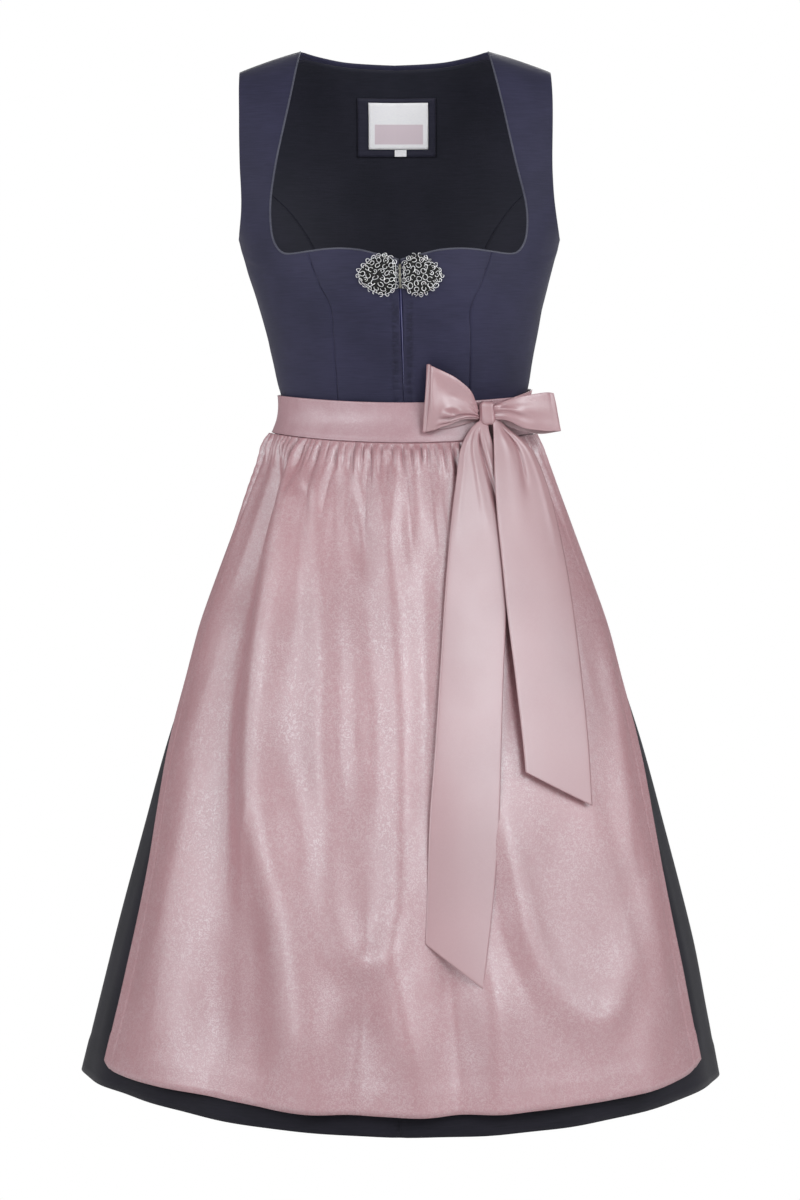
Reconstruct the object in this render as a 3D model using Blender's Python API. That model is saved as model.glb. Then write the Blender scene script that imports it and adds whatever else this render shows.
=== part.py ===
"""A dirndl with its apron, filled out as when it is worn but hollow, cut and joined as a real one is.

Metres, +Z up. The front faces -Y and the wearer's left is +X. The origin lies midway between the
shoulder straps, level with the two points where they meet the neck. A drop is a distance below it,
an angle runs round the body from the middle of the front (0) by the wearer's left (90) to the back (180),
and "out" is a distance outside the figure that the dress is cut for.
"""
import math

import bmesh
import bpy
from mathutils import Vector
from mathutils.bvhtree import BVHTree

# Cloth and seams
BODICE_CLOTH = 0.0016
LINING_CLOTH = 0.0010
SKIRT_CLOTH = 0.0014
APRON_CLOTH = 0.0012
BAND_CLOTH = 0.0016
LABEL_CLOTH = 0.0010
SEAM_GAP = 0.0003
SHOULDER_GAP = 0.0012
WAIST_GAP = 0.0012

# Heights
WAIST_DROP = 0.352
UNDERARM_DROP = 0.180

# The line of the shoulders, carried on to the middle of the neck
SHOULDER_RISE = 0.0307
SHOULDER_SLOPE = 0.339
SHOULDER_FADE = (0.04, 0.18)

# Level sections of the figure: drop, half width, depth to the front, depth to the back
FIGURE = (
    (0.0000, 0.1720, 0.0000, 0.0000),
    (0.0030, 0.1730, 0.0120, 0.0130),
    (0.0100, 0.1740, 0.0250, 0.0270),
    (0.0220, 0.1760, 0.0380, 0.0420),
    (0.0450, 0.1780, 0.0540, 0.0610),
    (0.0750, 0.1780, 0.0700, 0.0740),
    (0.1100, 0.1750, 0.0860, 0.0830),
    (0.1450, 0.1670, 0.1000, 0.0870),
    (0.1800, 0.1547, 0.1100, 0.0870),
    (0.2150, 0.1454, 0.1160, 0.0840),
    (0.2400, 0.1382, 0.1150, 0.0800),
    (0.2670, 0.1318, 0.1080, 0.0750),
    (0.3010, 0.1246, 0.0960, 0.0715),
    (0.3200, 0.1212, 0.0905, 0.0710),
    (0.3340, 0.1178, 0.0870, 0.0715),
    (0.3520, 0.1183, 0.0865, 0.0745),
    (0.3710, 0.1262, 0.0930, 0.0830),
    (0.4050, 0.1393, 0.1060, 0.0995),
    (0.4565, 0.1582, 0.1240, 0.1220),
    (0.5035, 0.1762, 0.1415, 0.1415),
    (0.5515, 0.1942, 0.1585, 0.1600),
    (0.6000, 0.2090, 0.1725, 0.1755),
    (0.6680, 0.2310, 0.1915, 0.1960),
    (0.7455, 0.2524, 0.2095, 0.2160),
    (0.8550, 0.2816, 0.2335, 0.2400),
    (0.9280, 0.2981, 0.2475, 0.2530),
    (1.0000, 0.3142, 0.2590, 0.2650),
)
HALF_WIDTH, FRONT_DEPTH, BACK_DEPTH = 1, 2, 3
# How the wearer stands, with one hip out: drop, how far the middle lies towards the wearer's left
STANCE = (
    (0.00, -0.0055),
    (0.05, -0.0042),
    (0.11, -0.0038),
    (0.16, -0.0012),
    (0.22, 0.0000),
    (0.30, 0.0027),
    (0.40, 0.0045),
    (0.60, 0.0042),
    (0.86, 0.0034),
    (0.93, 0.0015),
    (1.00, -0.0005),
)
# A section is a little squarer than an ellipse down to the ribs
BODICE_SQUARENESS = 2.2
SQUARENESS_FADE = (0.26, 0.36)

# Edges of the bodice pieces on the wearer's left, from the waist up: distance from the middle, drop
CENTRE_OPENING = (
    (0.0002, 0.3520),
    (0.0002, 0.3300),
    (0.0007, 0.3080),
    (0.0015, 0.2720),
    (0.0018, 0.2380),
    (0.0008, 0.2034),
)
FRONT_SEAM = (
    (0.0600, 0.3520),
    (0.0632, 0.3050),
    (0.0640, 0.2700),
    (0.0655, 0.2460),
    (0.0760, 0.2230),
    (0.0860, 0.1947),
)
NECK_TO_SHOULDER = (
    (0.0860, 0.1947),
    (0.1070, 0.1962),
    (0.1168, 0.1875),
    (0.1207, 0.1720),
    (0.1203, 0.1480),
    (0.1145, 0.1160),
    (0.1060, 0.0750),
    (0.0970, 0.0320),
    (0.0905, 0.0000),
)
ARMHOLE_FRONT = (
    (0.1547, 0.1800),
    (0.1531, 0.1735),
    (0.1510, 0.1640),
    (0.1492, 0.1520),
    (0.1484, 0.1380),
    (0.1486, 0.1120),
    (0.1493, 0.0800),
    (0.1500, 0.0480),
    (0.1497, 0.0200),
)
BACK_SEAM = (
    (0.0520, 0.3520),
    (0.0555, 0.3000),
    (0.0665, 0.2400),
    (0.0860, 0.1860),
    (0.1130, 0.1460),
    (0.1470, 0.1180),
)
ARMHOLE_BACK_LOW = (
    (0.1547, 0.1800),
    (0.1530, 0.1660),
    (0.1492, 0.1440),
    (0.1475, 0.1228),
)
ARMHOLE_BACK_HIGH = (
    (0.1470, 0.1180),
    (0.1468, 0.0900),
    (0.1478, 0.0560),
    (0.1497, 0.0200),
)
# Height of the front neck edge from the seam to the middle, and of the back neck: distance, drop
FRONT_NECK = (
    (0.0000, 0.2034),
    (0.0074, 0.2011),
    (0.0210, 0.1978),
    (0.0360, 0.1940),
    (0.0540, 0.1923),
    (0.0700, 0.1928),
    (0.0860, 0.1947),
)
BACK_NECK = (
    (0.0000, 0.0075),
    (0.0250, 0.0072),
    (0.0490, 0.0062),
    (0.0730, 0.0030),
    (0.0905, 0.0000),
)
NECK_POINT = 0.0905
WAIST_ROWS = 8
NECK_ROWS = 12
SIDE_SEAM_ROWS, ARMHOLE_ROWS = 11, 9
BACK_LOW_ROWS = 4
BACK_HIGH_ROWS = 6
FRONT_COLUMNS = 6
SIDE_FRONT_COLUMNS = 6
SIDE_BACK_COLUMNS = 5
BACK_COLUMNS = 8
TOP_EDGE_REACH = 3

# Lining, underlap and labels
LINING_SETBACK = 0.0020
LINING_DEPTH = 0.0018
UNDERLAP_HALF_WIDTH = 0.011
UNDERLAP_OUT = -0.0021
LABEL_PIECES = (
    # name, middle, half width, top drop, bottom drop, height over the lining's middle
    ("label_patch", 0.0008, 0.0395, 0.0385, 0.0950, 0.0018),
    ("label", 0.0026, 0.0303, 0.0428, 0.0875, 0.0034),
    ("label_tab", 0.0048, 0.0060, 0.0880, 0.0945, 0.0034),
)
LABEL_ROWS = 5

# Clasp
CLASP_METAL = 0.0018
CLASP_SEAT = 0.0026
CLASP_DOME = 0.0035
CLASP_RINGS = 4
CLASP_MIDDLE = (0.0195, 0.2170)
# Rim of one half: distance from the middle of the front, drop
CLASP_RIM = (
    (0.0026, 0.2065),
    (0.0060, 0.2015),
    (0.0125, 0.1975),
    (0.0225, 0.1992),
    (0.0325, 0.2068),
    (0.0395, 0.2160),
    (0.0365, 0.2235),
    (0.0310, 0.2295),
    (0.0240, 0.2340),
    (0.0155, 0.2368),
    (0.0075, 0.2335),
    (0.0028, 0.2270),
)
HOOK_RADIUS = 0.0016
HOOK_TOP, HOOK_BOTTOM = 0.2090, 0.2275
HOOK_OUT = 0.0042

# Bottom edge of the skirt: angle, drop
SKIRT_HEM = (
    (-90.0, 0.9925),
    (-76.0, 0.9880),
    (-52.0, 0.9860),
    (-25.0, 0.9933),
    (0.0, 0.9970),
    (20.0, 0.9972),
    (45.0, 0.9938),
    (67.0, 0.9920),
    (90.0, 0.9960),
    (110.0, 0.9940),
    (180.0, 0.9930),
    (250.0, 0.9910),
    (270.0, 0.9925),
)
SKIRT_HEM_DROP = 0.997
SKIRT_GATHERS = 36
GATHER_COLUMNS = 4
GATHER_DEPTH = 0.0022
GATHER_RISE, GATHER_FADE = (0.345, 0.385), (0.385, 0.500)
SKIRT_WAVERING, APRON_WAVERING = 2.3, 3.1
PLAIN_END_COLUMNS = 8
BACK_FOLDS = 11
FRONT_FOLD_DEPTH, BACK_FOLD_DEPTH = 0.0012, 0.0060
BACK_FOLDS_START = (80.0, 120.0)
SKIRT_FOLD_RISE = (0.37, 0.75)
SKIRT_FRONT_COLUMNS = 12
SKIRT_FRONT_DROPS = (0.366, 0.385, 0.41, 0.45, 0.51, 0.59, 0.69, 0.80, 0.90)
SKIRT_GATHERED_DROPS = (0.368, 0.390)
SKIRT_HALVED_DROPS = (0.420, 0.465)
SKIRT_FOLDED_DROPS = (0.530, 0.610, 0.700, 0.800, 0.900)

# Apron
BAND_TOP, BAND_BOTTOM = 0.3300, 0.3660
BAND_TOP_DIP, BAND_BOTTOM_DIP = 0.0060, 0.0078
BAND_LEFT, BAND_RIGHT = -88.0, 79.0
BAND_OUT_TOP, BAND_OUT_BOTTOM = 0.0034, 0.0046
BAND_COLUMNS = 34
APRON_GATHERS = 45
APRON_GATHER_DEPTH = 0.0017
APRON_GATHER_RISE, APRON_GATHER_FADE = (0.366, 0.390), (0.395, 0.490)
APRON_GATHER_AT_BAND = 0.45
APRON_OUT_TOP, APRON_OUT_LOW = 0.0048, 0.0086
APRON_OUT_FADE = (0.372, 0.460)
APRON_HEM_DROP = 0.979
APRON_GATHERED_DROPS = (0.378, 0.400)
APRON_HALVED_DROPS = (0.430, 0.470)
APRON_FOLDED_DROPS = (0.520, 0.580, 0.645, 0.715, 0.785, 0.855, 0.920)
# Side edges of the apron: drop, angle on the wearer's right, angle on the wearer's left
APRON_SIDES = (
    (0.366, -87.5, 78.0),
    (0.450, -85.0, 78.5),
    (0.560, -80.0, 77.5),
    (0.660, -74.0, 73.0),
    (0.740, -68.5, 68.8),
    (0.800, -65.4, 66.4),
    (0.870, -64.2, 65.2),
    (0.980, -64.3, 66.3),
)
# Bottom edge of the apron: angle, drop
APRON_HEM = (
    (-66.0, 0.9570),
    (-61.0, 0.9655),
    (-44.0, 0.9672),
    (-30.0, 0.9740),
    (0.0, 0.9792),
    (32.0, 0.9765),
    (47.0, 0.9725),
    (61.5, 0.9672),
    (67.0, 0.9600),
)
# Long folds: angle at the top, middle and bottom, first and last drop, half width in degrees, height
APRON_FOLDS = (
    (-49.0, -39.5, -25.0, 0.375, 0.985, 4.2, -0.0042),
    (-55.0, -47.0, -33.0, 0.390, 0.960, 4.5, 0.0026),
    (-38.0, -23.0, -17.0, 0.385, 0.800, 3.6, -0.0026),
    (-27.0, -18.0, -13.0, 0.378, 0.620, 3.0, -0.0024),
    (-17.0, -11.0, -9.0, 0.376, 0.560, 2.6, -0.0024),
    (-8.0, -4.6, -2.0, 0.380, 0.740, 3.2, -0.0022),
    (13.0, 6.5, 2.0, 0.376, 0.760, 3.4, -0.0030),
    (-31.0, -16.0, -9.0, 0.420, 0.850, 4.2, 0.0028),
    (3.0, -2.0, 4.0, 0.560, 0.985, 5.5, -0.0026),
    (33.0, 26.0, 22.0, 0.380, 0.700, 3.4, -0.0028),
    (24.0, 22.0, 31.0, 0.560, 0.950, 4.4, 0.0028),
    (50.0, 37.0, 36.0, 0.420, 0.985, 4.6, -0.0036),
    (60.0, 48.0, 44.0, 0.400, 0.960, 4.4, 0.0026),
    (66.0, 60.0, 54.0, 0.400, 0.985, 3.8, -0.0028),
    (-70.0, -62.0, -47.0, 0.390, 0.985, 4.4, -0.0030),
    (-78.0, -72.0, -56.0, 0.420, 0.960, 3.8, 0.0022),
)
FOLD_START, FOLD_END, FOLD_LEFT_AT_END = 0.12, 0.70, 0.3

# Tie round the back, from the left end of the band to the knot: angle, top drop, bottom drop, out
TIE_ROUND_BACK = (
    (-88.4, 0.3305, 0.3655, 0.0033),
    (-110.0, 0.3290, 0.3640, 0.0033),
    (-145.0, 0.3275, 0.3625, 0.0033),
    (-180.0, 0.3265, 0.3620, 0.0033),
    (-215.0, 0.3255, 0.3615, 0.0033),
    (-245.0, 0.3245, 0.3610, 0.0042),
    (-268.0, 0.3240, 0.3600, 0.0068),
    (-285.0, 0.3255, 0.3590, 0.0075),
    (-300.0, 0.3300, 0.3575, 0.0076),
    (-310.5, 0.3350, 0.3555, 0.0078),
)
TIE_COLUMNS = 3
TIE_ROWS_BETWEEN = 3

# Knot of the bow
KNOT_MIDDLE = (0.0773, -0.0800, -0.3462)
KNOT_HALF_SIZE = (0.0070, 0.0072, 0.0112)
KNOT_AROUND = 14
KNOT_RINGS = (-1.0, -0.86, -0.45, 0.0, 0.45, 0.86, 1.0)
KNOT_WAIST, KNOT_ROUNDING = 0.10, 0.42
KNOT_SQUARE_ACROSS, KNOT_SQUARE_AHEAD = 0.6, 0.8
# Loops: upper edge x, drop, y, then lower edge x, drop, y, then how far the middle stands forward
LOOP_LEFT = (
    (0.0698, 0.3405, -0.0830, 0.0698, 0.3520, -0.0830, 0.0010),
    (0.0623, 0.3262, -0.0940, 0.0568, 0.3520, -0.0930, 0.0025),
    (0.0463, 0.3130, -0.1020, 0.0388, 0.3578, -0.1000, 0.0050),
    (0.0303, 0.3040, -0.1050, 0.0248, 0.3624, -0.1030, 0.0035),
    (0.0248, 0.3003, -0.1040, 0.0196, 0.3636, -0.1015, 0.0010),
    (0.0230, 0.3003, -0.1005, 0.0178, 0.3632, -0.0985, 0.0000),
    (0.0250, 0.3022, -0.0975, 0.0198, 0.3620, -0.0955, -0.0005),
    (0.0388, 0.3140, -0.0925, 0.0378, 0.3608, -0.0915, 0.0000),
    (0.0558, 0.3270, -0.0860, 0.0558, 0.3570, -0.0860, 0.0010),
    (0.0698, 0.3405, -0.0780, 0.0698, 0.3525, -0.0780, 0.0010),
)
LOOP_RIGHT = (
    (0.0842, 0.3390, -0.0815, 0.0842, 0.3520, -0.0815, 0.0010),
    (0.0968, 0.3345, -0.0855, 0.0978, 0.3528, -0.0845, 0.0030),
    (0.1108, 0.3305, -0.0845, 0.1133, 0.3598, -0.0825, 0.0040),
    (0.1278, 0.3275, -0.0775, 0.1318, 0.3630, -0.0745, 0.0025),
    (0.1393, 0.3267, -0.0700, 0.1450, 0.3634, -0.0670, 0.0010),
    (0.1424, 0.3282, -0.0655, 0.1486, 0.3634, -0.0625, 0.0000),
    (0.1398, 0.3297, -0.0620, 0.1458, 0.3642, -0.0590, -0.0005),
    (0.1258, 0.3312, -0.0650, 0.1288, 0.3662, -0.0620, 0.0000),
    (0.1068, 0.3352, -0.0720, 0.1088, 0.3625, -0.0690, 0.0010),
    (0.0842, 0.3405, -0.0770, 0.0842, 0.3530, -0.0770, 0.0010),
)
LOOP_COLUMNS = 5
LOOP_SPANS_SPLIT = 2
# Tails: left edge x, drop, then right edge x, drop, then out
TAIL_LONG = (
    (0.0703, 0.3573, 0.0770, 0.3573, 0.0152),
    (0.0598, 0.3640, 0.0788, 0.3660, 0.0150),
    (0.0524, 0.3800, 0.0843, 0.3800, 0.0148),
    (0.0478, 0.4100, 0.0880, 0.4110, 0.0150),
    (0.0424, 0.4520, 0.0913, 0.4560, 0.0150),
    (0.0370, 0.5130, 0.0943, 0.5180, 0.0150),
    (0.0326, 0.5812, 0.0913, 0.5850, 0.0150),
    (0.0278, 0.6519, 0.0888, 0.6560, 0.0150),
    (0.0231, 0.7123, 0.0862, 0.7250, 0.0150),
    (0.0208, 0.7720, 0.0808, 0.7900, 0.0150),
    (0.0193, 0.8236, 0.0719, 0.8646, 0.0150),
)
TAIL_SHORT = (
    (0.0786, 0.3572, 0.0840, 0.3572, 0.0167),
    (0.0824, 0.3680, 0.1008, 0.3660, 0.0180),
    (0.0836, 0.3840, 0.1198, 0.3800, 0.0185),
    (0.0843, 0.4080, 0.1323, 0.4060, 0.0190),
    (0.0867, 0.4440, 0.1428, 0.4420, 0.0192),
    (0.0909, 0.4860, 0.1521, 0.4860, 0.0192),
    (0.0953, 0.5320, 0.1593, 0.5340, 0.0192),
    (0.1018, 0.5840, 0.1658, 0.5900, 0.0192),
    (0.1083, 0.6400, 0.1713, 0.6500, 0.0192),
    (0.1114, 0.6736, 0.1743, 0.7085, 0.0192),
)
TAIL_COLUMNS = 6
TAIL_PLEATS = 2.5
TAIL_PLEAT_DEPTH = 0.0016
TAIL_PLEAT_RISE, TAIL_PLEAT_FADE = (0.358, 0.375), (0.380, 0.460)

# Finishes: colour, roughness, metallic
FINISHES = {
    "navy cloth": ((0.040, 0.042, 0.080, 1.0), 0.62, 0.0),
    "navy skirt": ((0.030, 0.033, 0.055, 1.0), 0.70, 0.0),
    "dark lining": ((0.016, 0.017, 0.028, 1.0), 0.80, 0.0),
    "blue satin": ((0.160, 0.160, 0.330, 1.0), 0.35, 0.0),
    "pink satin": ((0.600, 0.390, 0.420, 1.0), 0.42, 0.0),
    "white label": ((0.820, 0.800, 0.810, 1.0), 0.60, 0.0),
    "old silver": ((0.420, 0.400, 0.390, 1.0), 0.32, 1.0),
}


def clear_scene():
    for thing in list(bpy.data.objects):
        bpy.data.objects.remove(thing, do_unlink=True)


def ease(value, start, end):
    """Runs smoothly from 0 at the start to 1 at the end."""
    share = min(1.0, max(0.0, (value - start) / (end - start)))
    return share * share * (3.0 - 2.0 * share)


def bend(share, before, first, last, after):
    """One smooth stretch from first to last, given the slopes at its two ends."""
    square, cube = share ** 2, share ** 3
    middle = (2 * cube - 3 * square + 1) * first + (3 * square - 2 * cube) * last
    return middle + (cube - 2 * square + share) * before + (cube - square) * after


def read(table, column, at):
    """Reads a column as a smooth curve over the table's first column."""
    at = min(max(at, table[0][0]), table[-1][0])
    row = 0
    while row < len(table) - 2 and table[row + 1][0] < at:
        row += 1

    def slope(index):
        low, high = table[max(index - 1, 0)], table[min(index + 1, len(table) - 1)]
        return (high[column] - low[column]) / (high[0] - low[0])

    span = table[row + 1][0] - table[row][0]
    share = (at - table[row][0]) / span
    first, last = table[row][column], table[row + 1][column]
    return bend(share, slope(row) * span, first, last, slope(row + 1) * span)


def along(table, count):
    """Spreads count + 1 rows evenly over a table's rows, on a smooth curve through them."""
    rows = []
    for step in range(count + 1):
        place = step / count * (len(table) - 1)
        index = min(int(place), len(table) - 2)
        around = [table[min(max(index + shift, 0), len(table) - 1)] for shift in (-1, 0, 1, 2)]
        row = []
        for before, first, last, after in zip(*around):
            row.append(bend(place - index, (last - before) / 2, first, last, (after - first) / 2))
        rows.append(tuple(row))
    return rows


def squareness(drop):
    return BODICE_SQUARENESS - (BODICE_SQUARENESS - 2.0) * ease(drop, *SQUARENESS_FADE)


def below_shoulder(x, drop):
    """The drop that counts for a section's depth: above the armholes it follows the shoulder line."""
    lift = (SHOULDER_RISE - SHOULDER_SLOPE * abs(x)) * (1.0 - ease(drop, *SHOULDER_FADE))
    return max(0.0, drop + lift)


def figure(angle, drop, out=0.0):
    """A point that lies a distance out from the figure, at an angle and a drop."""
    power = 2.0 / squareness(drop)
    across, ahead = math.sin(math.radians(angle)), math.cos(math.radians(angle))
    x = (read(FIGURE, HALF_WIDTH, drop) + out) * math.copysign(abs(across) ** power, across)
    column = FRONT_DEPTH if ahead > 0 else BACK_DEPTH
    depth = read(FIGURE, column, below_shoulder(x, drop)) + out
    return Vector((x, -depth * math.copysign(abs(ahead) ** power, ahead), -drop))


def angle_at(x, drop, out=0.0, back=False):
    """The angle at which the figure is x to the side of its middle."""
    reach = min(1.0, abs(x) / (read(FIGURE, HALF_WIDTH, drop) + out))
    angle = math.degrees(math.asin(math.copysign(reach ** (squareness(drop) / 2.0), x)))
    return 180.0 - angle if back else angle


def panel(first_edge, last_edge, columns, back=False, top=None):
    """Rows of points between two edges; top gives the drop of the upper edge by distance."""
    rows = []
    pairs = list(zip(first_edge, last_edge))
    ends = [[angle_at(x, drop, back=back) for x, drop in pair] for pair in pairs]
    for index, ((_, first_drop), (_, last_drop)) in enumerate(pairs):
        height = index / (len(pairs) - 1)
        row = []
        for column in range(columns + 1):
            share = column / columns
            angle = ends[index][0] + (ends[index][1] - ends[index][0]) * share
            drop = first_drop + (last_drop - first_drop) * share
            if top:
                top_angle = ends[-1][0] + (ends[-1][1] - ends[-1][0]) * share
                top_line = pairs[-1][0][1] + (pairs[-1][1][1] - pairs[-1][0][1]) * share
                edge_x = figure(top_angle, top_line).x
                drop += (top(abs(edge_x)) - top_line) * height ** TOP_EDGE_REACH
            row.append(figure(angle, drop))
        rows.append(row)
    return rows


def drawn_in(rows, sides=SEAM_GAP / 2, bottom=0.0, top=0.0):
    """Draws a panel's edges in, so that it stays clear of the piece that it is sewn to."""
    for row in rows:
        for edge, inner in ((0, 1), (-1, -2)):
            row[edge] += (row[inner] - row[edge]).normalized() * sides
    for edge, inner, distance in ((0, 1, bottom), (-1, -2, top)):
        for point, towards in zip(rows[edge], rows[inner]):
            point += (towards - point).normalized() * distance
    return rows


def moved(rows, distance):
    """The same rows, moved along the surface's own normals; inwards where the distance is negative."""
    result = []
    for i, row in enumerate(rows):
        new = []
        for j, point in enumerate(row):
            up = rows[min(i + 1, len(rows) - 1)][j] - rows[max(i - 1, 0)][j]
            over = row[min(j + 1, len(row) - 1)] - row[max(j - 1, 0)]
            normal = up.cross(over).normalized()
            if normal.dot(Vector((point.x, point.y, 0.0))) < 0:
                normal = -normal
            new.append(point + normal * distance)
        result.append(new)
    return result


def mirrored(rows):
    return [[Vector((-p.x, p.y, p.z)) for p in reversed(row)] for row in rows]


def surface_of(rows):
    """A surface that can be met by a straight line, through a panel's points."""
    width = len(rows[0])
    points = [point for row in rows for point in row]
    faces = []
    for row in range(len(rows) - 1):
        for a in range(row * width, row * width + width - 1):
            b, c, d = a + 1, a + width + 1, a + width
            faces += [(a, b, c), (a, c, d)]
    return BVHTree.FromPolygons(points, faces)


def finish(name):
    material = bpy.data.materials.get(name)
    if material is None:
        colour, roughness, metallic = FINISHES[name]
        material = bpy.data.materials.new(name)
        material.use_nodes = True
        shader = material.node_tree.nodes["Principled BSDF"]
        shader.inputs["Base Color"].default_value = colour
        shader.inputs["Roughness"].default_value = roughness
        shader.inputs["Metallic"].default_value = metallic
        material.diffuse_color = colour
    return material


def add_object(name, mesh_builder, finish_name):
    mesh = bpy.data.meshes.new(name)
    mesh_builder.to_mesh(mesh)
    mesh_builder.free()
    mesh.shade_smooth()
    thing = bpy.data.objects.new(name, mesh)
    thing.data.materials.append(finish(finish_name))
    bpy.context.collection.objects.link(thing)
    return thing


def thicken(thing, cloth):
    solidify = thing.modifiers.new("cloth", "SOLIDIFY")
    solidify.thickness = cloth
    solidify.offset = 0.0
    return thing


def join_rows(builder, lower, upper):
    """Fills the strip between two rows; one of them may have half as many columns."""
    if len(lower) == len(upper):
        for a, b, c, d in zip(lower, lower[1:], upper[1:], upper):
            builder.faces.new((a, b, c))
            builder.faces.new((a, c, d))
        return
    fine, coarse = (lower, upper) if len(lower) > len(upper) else (upper, lower)
    for index in range(len(coarse) - 1):
        a, b, c = fine[2 * index:2 * index + 3]
        d, e = coarse[index:index + 2]
        for corners in ((a, b, d), (b, e, d), (b, c, e)):
            builder.faces.new(corners)


def standing(point):
    """Moves a point sideways with the wearer's stance."""
    return Vector((point.x + read(STANCE, 1, -point.z), point.y, point.z))


def wall(name, rows, cloth, finish_name):
    """A piece of cloth with a real thickness, on rows of points through its middle."""
    builder = bmesh.new()
    lines = [[builder.verts.new(standing(point)) for point in row] for row in rows]
    for lower, upper in zip(lines, lines[1:]):
        join_rows(builder, lower, upper)
    bmesh.ops.recalc_face_normals(builder, faces=builder.faces)
    return thicken(add_object(name, builder, finish_name), cloth)


def shoulder_line(x):
    return SHOULDER_SLOPE * x - SHOULDER_RISE


def side_seam(count):
    drops = [WAIST_DROP + (UNDERARM_DROP - WAIST_DROP) * step / count for step in range(count + 1)]
    return [(read(FIGURE, HALF_WIDTH, drop), drop) for drop in drops]


def bodice_front():
    centre = along(CENTRE_OPENING, WAIST_ROWS)
    seam = along(FRONT_SEAM, WAIST_ROWS)
    rows = panel(centre, seam, FRONT_COLUMNS, top=lambda x: read(FRONT_NECK, 1, x))
    drawn_in(rows, bottom=WAIST_GAP / 2)
    wall("bodice_front_left", rows, BODICE_CLOTH, "navy cloth")
    wall("bodice_front_right", mirrored(rows), BODICE_CLOTH, "navy cloth")


def bodice_side_front():
    inner = along(FRONT_SEAM, WAIST_ROWS) + along(NECK_TO_SHOULDER, NECK_ROWS)[1:]
    outer = side_seam(SIDE_SEAM_ROWS) + along(ARMHOLE_FRONT, ARMHOLE_ROWS)[1:]
    rows = panel(inner, outer, SIDE_FRONT_COLUMNS)
    drawn_in(rows, bottom=WAIST_GAP / 2, top=SHOULDER_GAP / 2)
    wall("bodice_side_front_left", rows, BODICE_CLOTH, "navy cloth")
    wall("bodice_side_front_right", mirrored(rows), BODICE_CLOTH, "navy cloth")


def back_seam():
    return along(BACK_SEAM, WAIST_ROWS + BACK_LOW_ROWS)


def side_back_rows():
    outer = side_seam(WAIST_ROWS) + along(ARMHOLE_BACK_LOW, BACK_LOW_ROWS)[1:]
    return panel(outer, back_seam(), SIDE_BACK_COLUMNS, back=True)


def back_rows():
    left = back_seam() + along(ARMHOLE_BACK_HIGH, BACK_HIGH_ROWS)[1:]
    right = [(-x, drop) for x, drop in left]

    def top(x):
        return read(BACK_NECK, 1, x) if x < NECK_POINT else shoulder_line(x)

    return panel(left, right, BACK_COLUMNS, back=True, top=top)


def bodice_back():
    rows = drawn_in(back_rows(), bottom=WAIST_GAP / 2, top=SHOULDER_GAP / 2)
    wall("bodice_back", rows, BODICE_CLOTH, "navy cloth")
    side = drawn_in(side_back_rows(), bottom=WAIST_GAP / 2)
    wall("bodice_side_back_left", side, BODICE_CLOTH, "navy cloth")
    wall("bodice_side_back_right", mirrored(side), BODICE_CLOTH, "navy cloth")


def back_lining_rows():
    rows = moved(back_rows(), -LINING_DEPTH)
    return drawn_in(rows, sides=SEAM_GAP, bottom=LINING_SETBACK, top=LINING_SETBACK)


def back_lining():
    """The dark lining inside the back, cut like the back; its side pieces end a little lower."""
    wall("lining_back", back_lining_rows(), LINING_CLOTH, "dark lining")
    side = moved(side_back_rows(), -LINING_DEPTH)[:-1]
    drawn_in(side, sides=SEAM_GAP, bottom=LINING_SETBACK, top=LINING_SETBACK)
    wall("lining_side_back_left", side, LINING_CLOTH, "dark lining")
    wall("lining_side_back_right", mirrored(side), LINING_CLOTH, "dark lining")


def front_underlap():
    rows = []
    for _, drop in along(CENTRE_OPENING, WAIST_ROWS):
        reach = angle_at(UNDERLAP_HALF_WIDTH, drop)
        rows.append([figure(reach * share, drop, UNDERLAP_OUT) for share in (-1.0, 0.0, 1.0)])
    drawn_in(rows, bottom=LINING_SETBACK, top=LINING_SETBACK)
    wall("front_underlap", rows, LINING_CLOTH, "blue satin")


def labels():
    lining = surface_of(back_lining_rows())
    backwards = Vector((0.0, 1.0, 0.0))
    for name, middle, half_width, top, bottom, height in LABEL_PIECES:
        rows = []
        for step in range(LABEL_ROWS + 1):
            drop = bottom + (top - bottom) * step / LABEL_ROWS
            row = []
            for share in (-1.0, -0.5, 0.0, 0.5, 1.0):
                start = Vector((middle + half_width * share, 0.0, -drop))
                place, normal, _, _ = lining.ray_cast(start, backwards)
                row.append(place - normal * math.copysign(height, normal.y))
            rows.append(row)
        finish_name = "dark lining" if name == "label_patch" else "white label"
        wall(name, rows, LABEL_CLOTH, finish_name)


def clasp_half(name, side):
    """One domed half: rings from its rim to its middle, seated on the front of the bodice."""
    builder = bmesh.new()
    rings = []
    for ring in range(CLASP_RINGS):
        share = 1.0 - ring / CLASP_RINGS
        rise = CLASP_SEAT + CLASP_DOME * (1.0 - share * share)
        points = []
        for x, drop in CLASP_RIM:
            x = CLASP_MIDDLE[0] + (x - CLASP_MIDDLE[0]) * share
            drop = CLASP_MIDDLE[1] + (drop - CLASP_MIDDLE[1]) * share
            points.append(builder.verts.new(standing(figure(side * angle_at(x, drop), drop, rise))))
        rings.append(points)
    for outer, inner in zip(rings, rings[1:]):
        for index in range(len(outer)):
            after = (index + 1) % len(outer)
            builder.faces.new((outer[index], outer[after], inner[after], inner[index]))
    crown = figure(side * angle_at(*CLASP_MIDDLE), CLASP_MIDDLE[1], CLASP_SEAT + CLASP_DOME)
    middle = builder.verts.new(standing(crown))
    for index, point in enumerate(rings[-1]):
        builder.faces.new((point, rings[-1][(index + 1) % len(rings[-1])], middle))
    bmesh.ops.recalc_face_normals(builder, faces=builder.faces)
    thicken(add_object(name, builder, "old silver"), CLASP_METAL)


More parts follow.
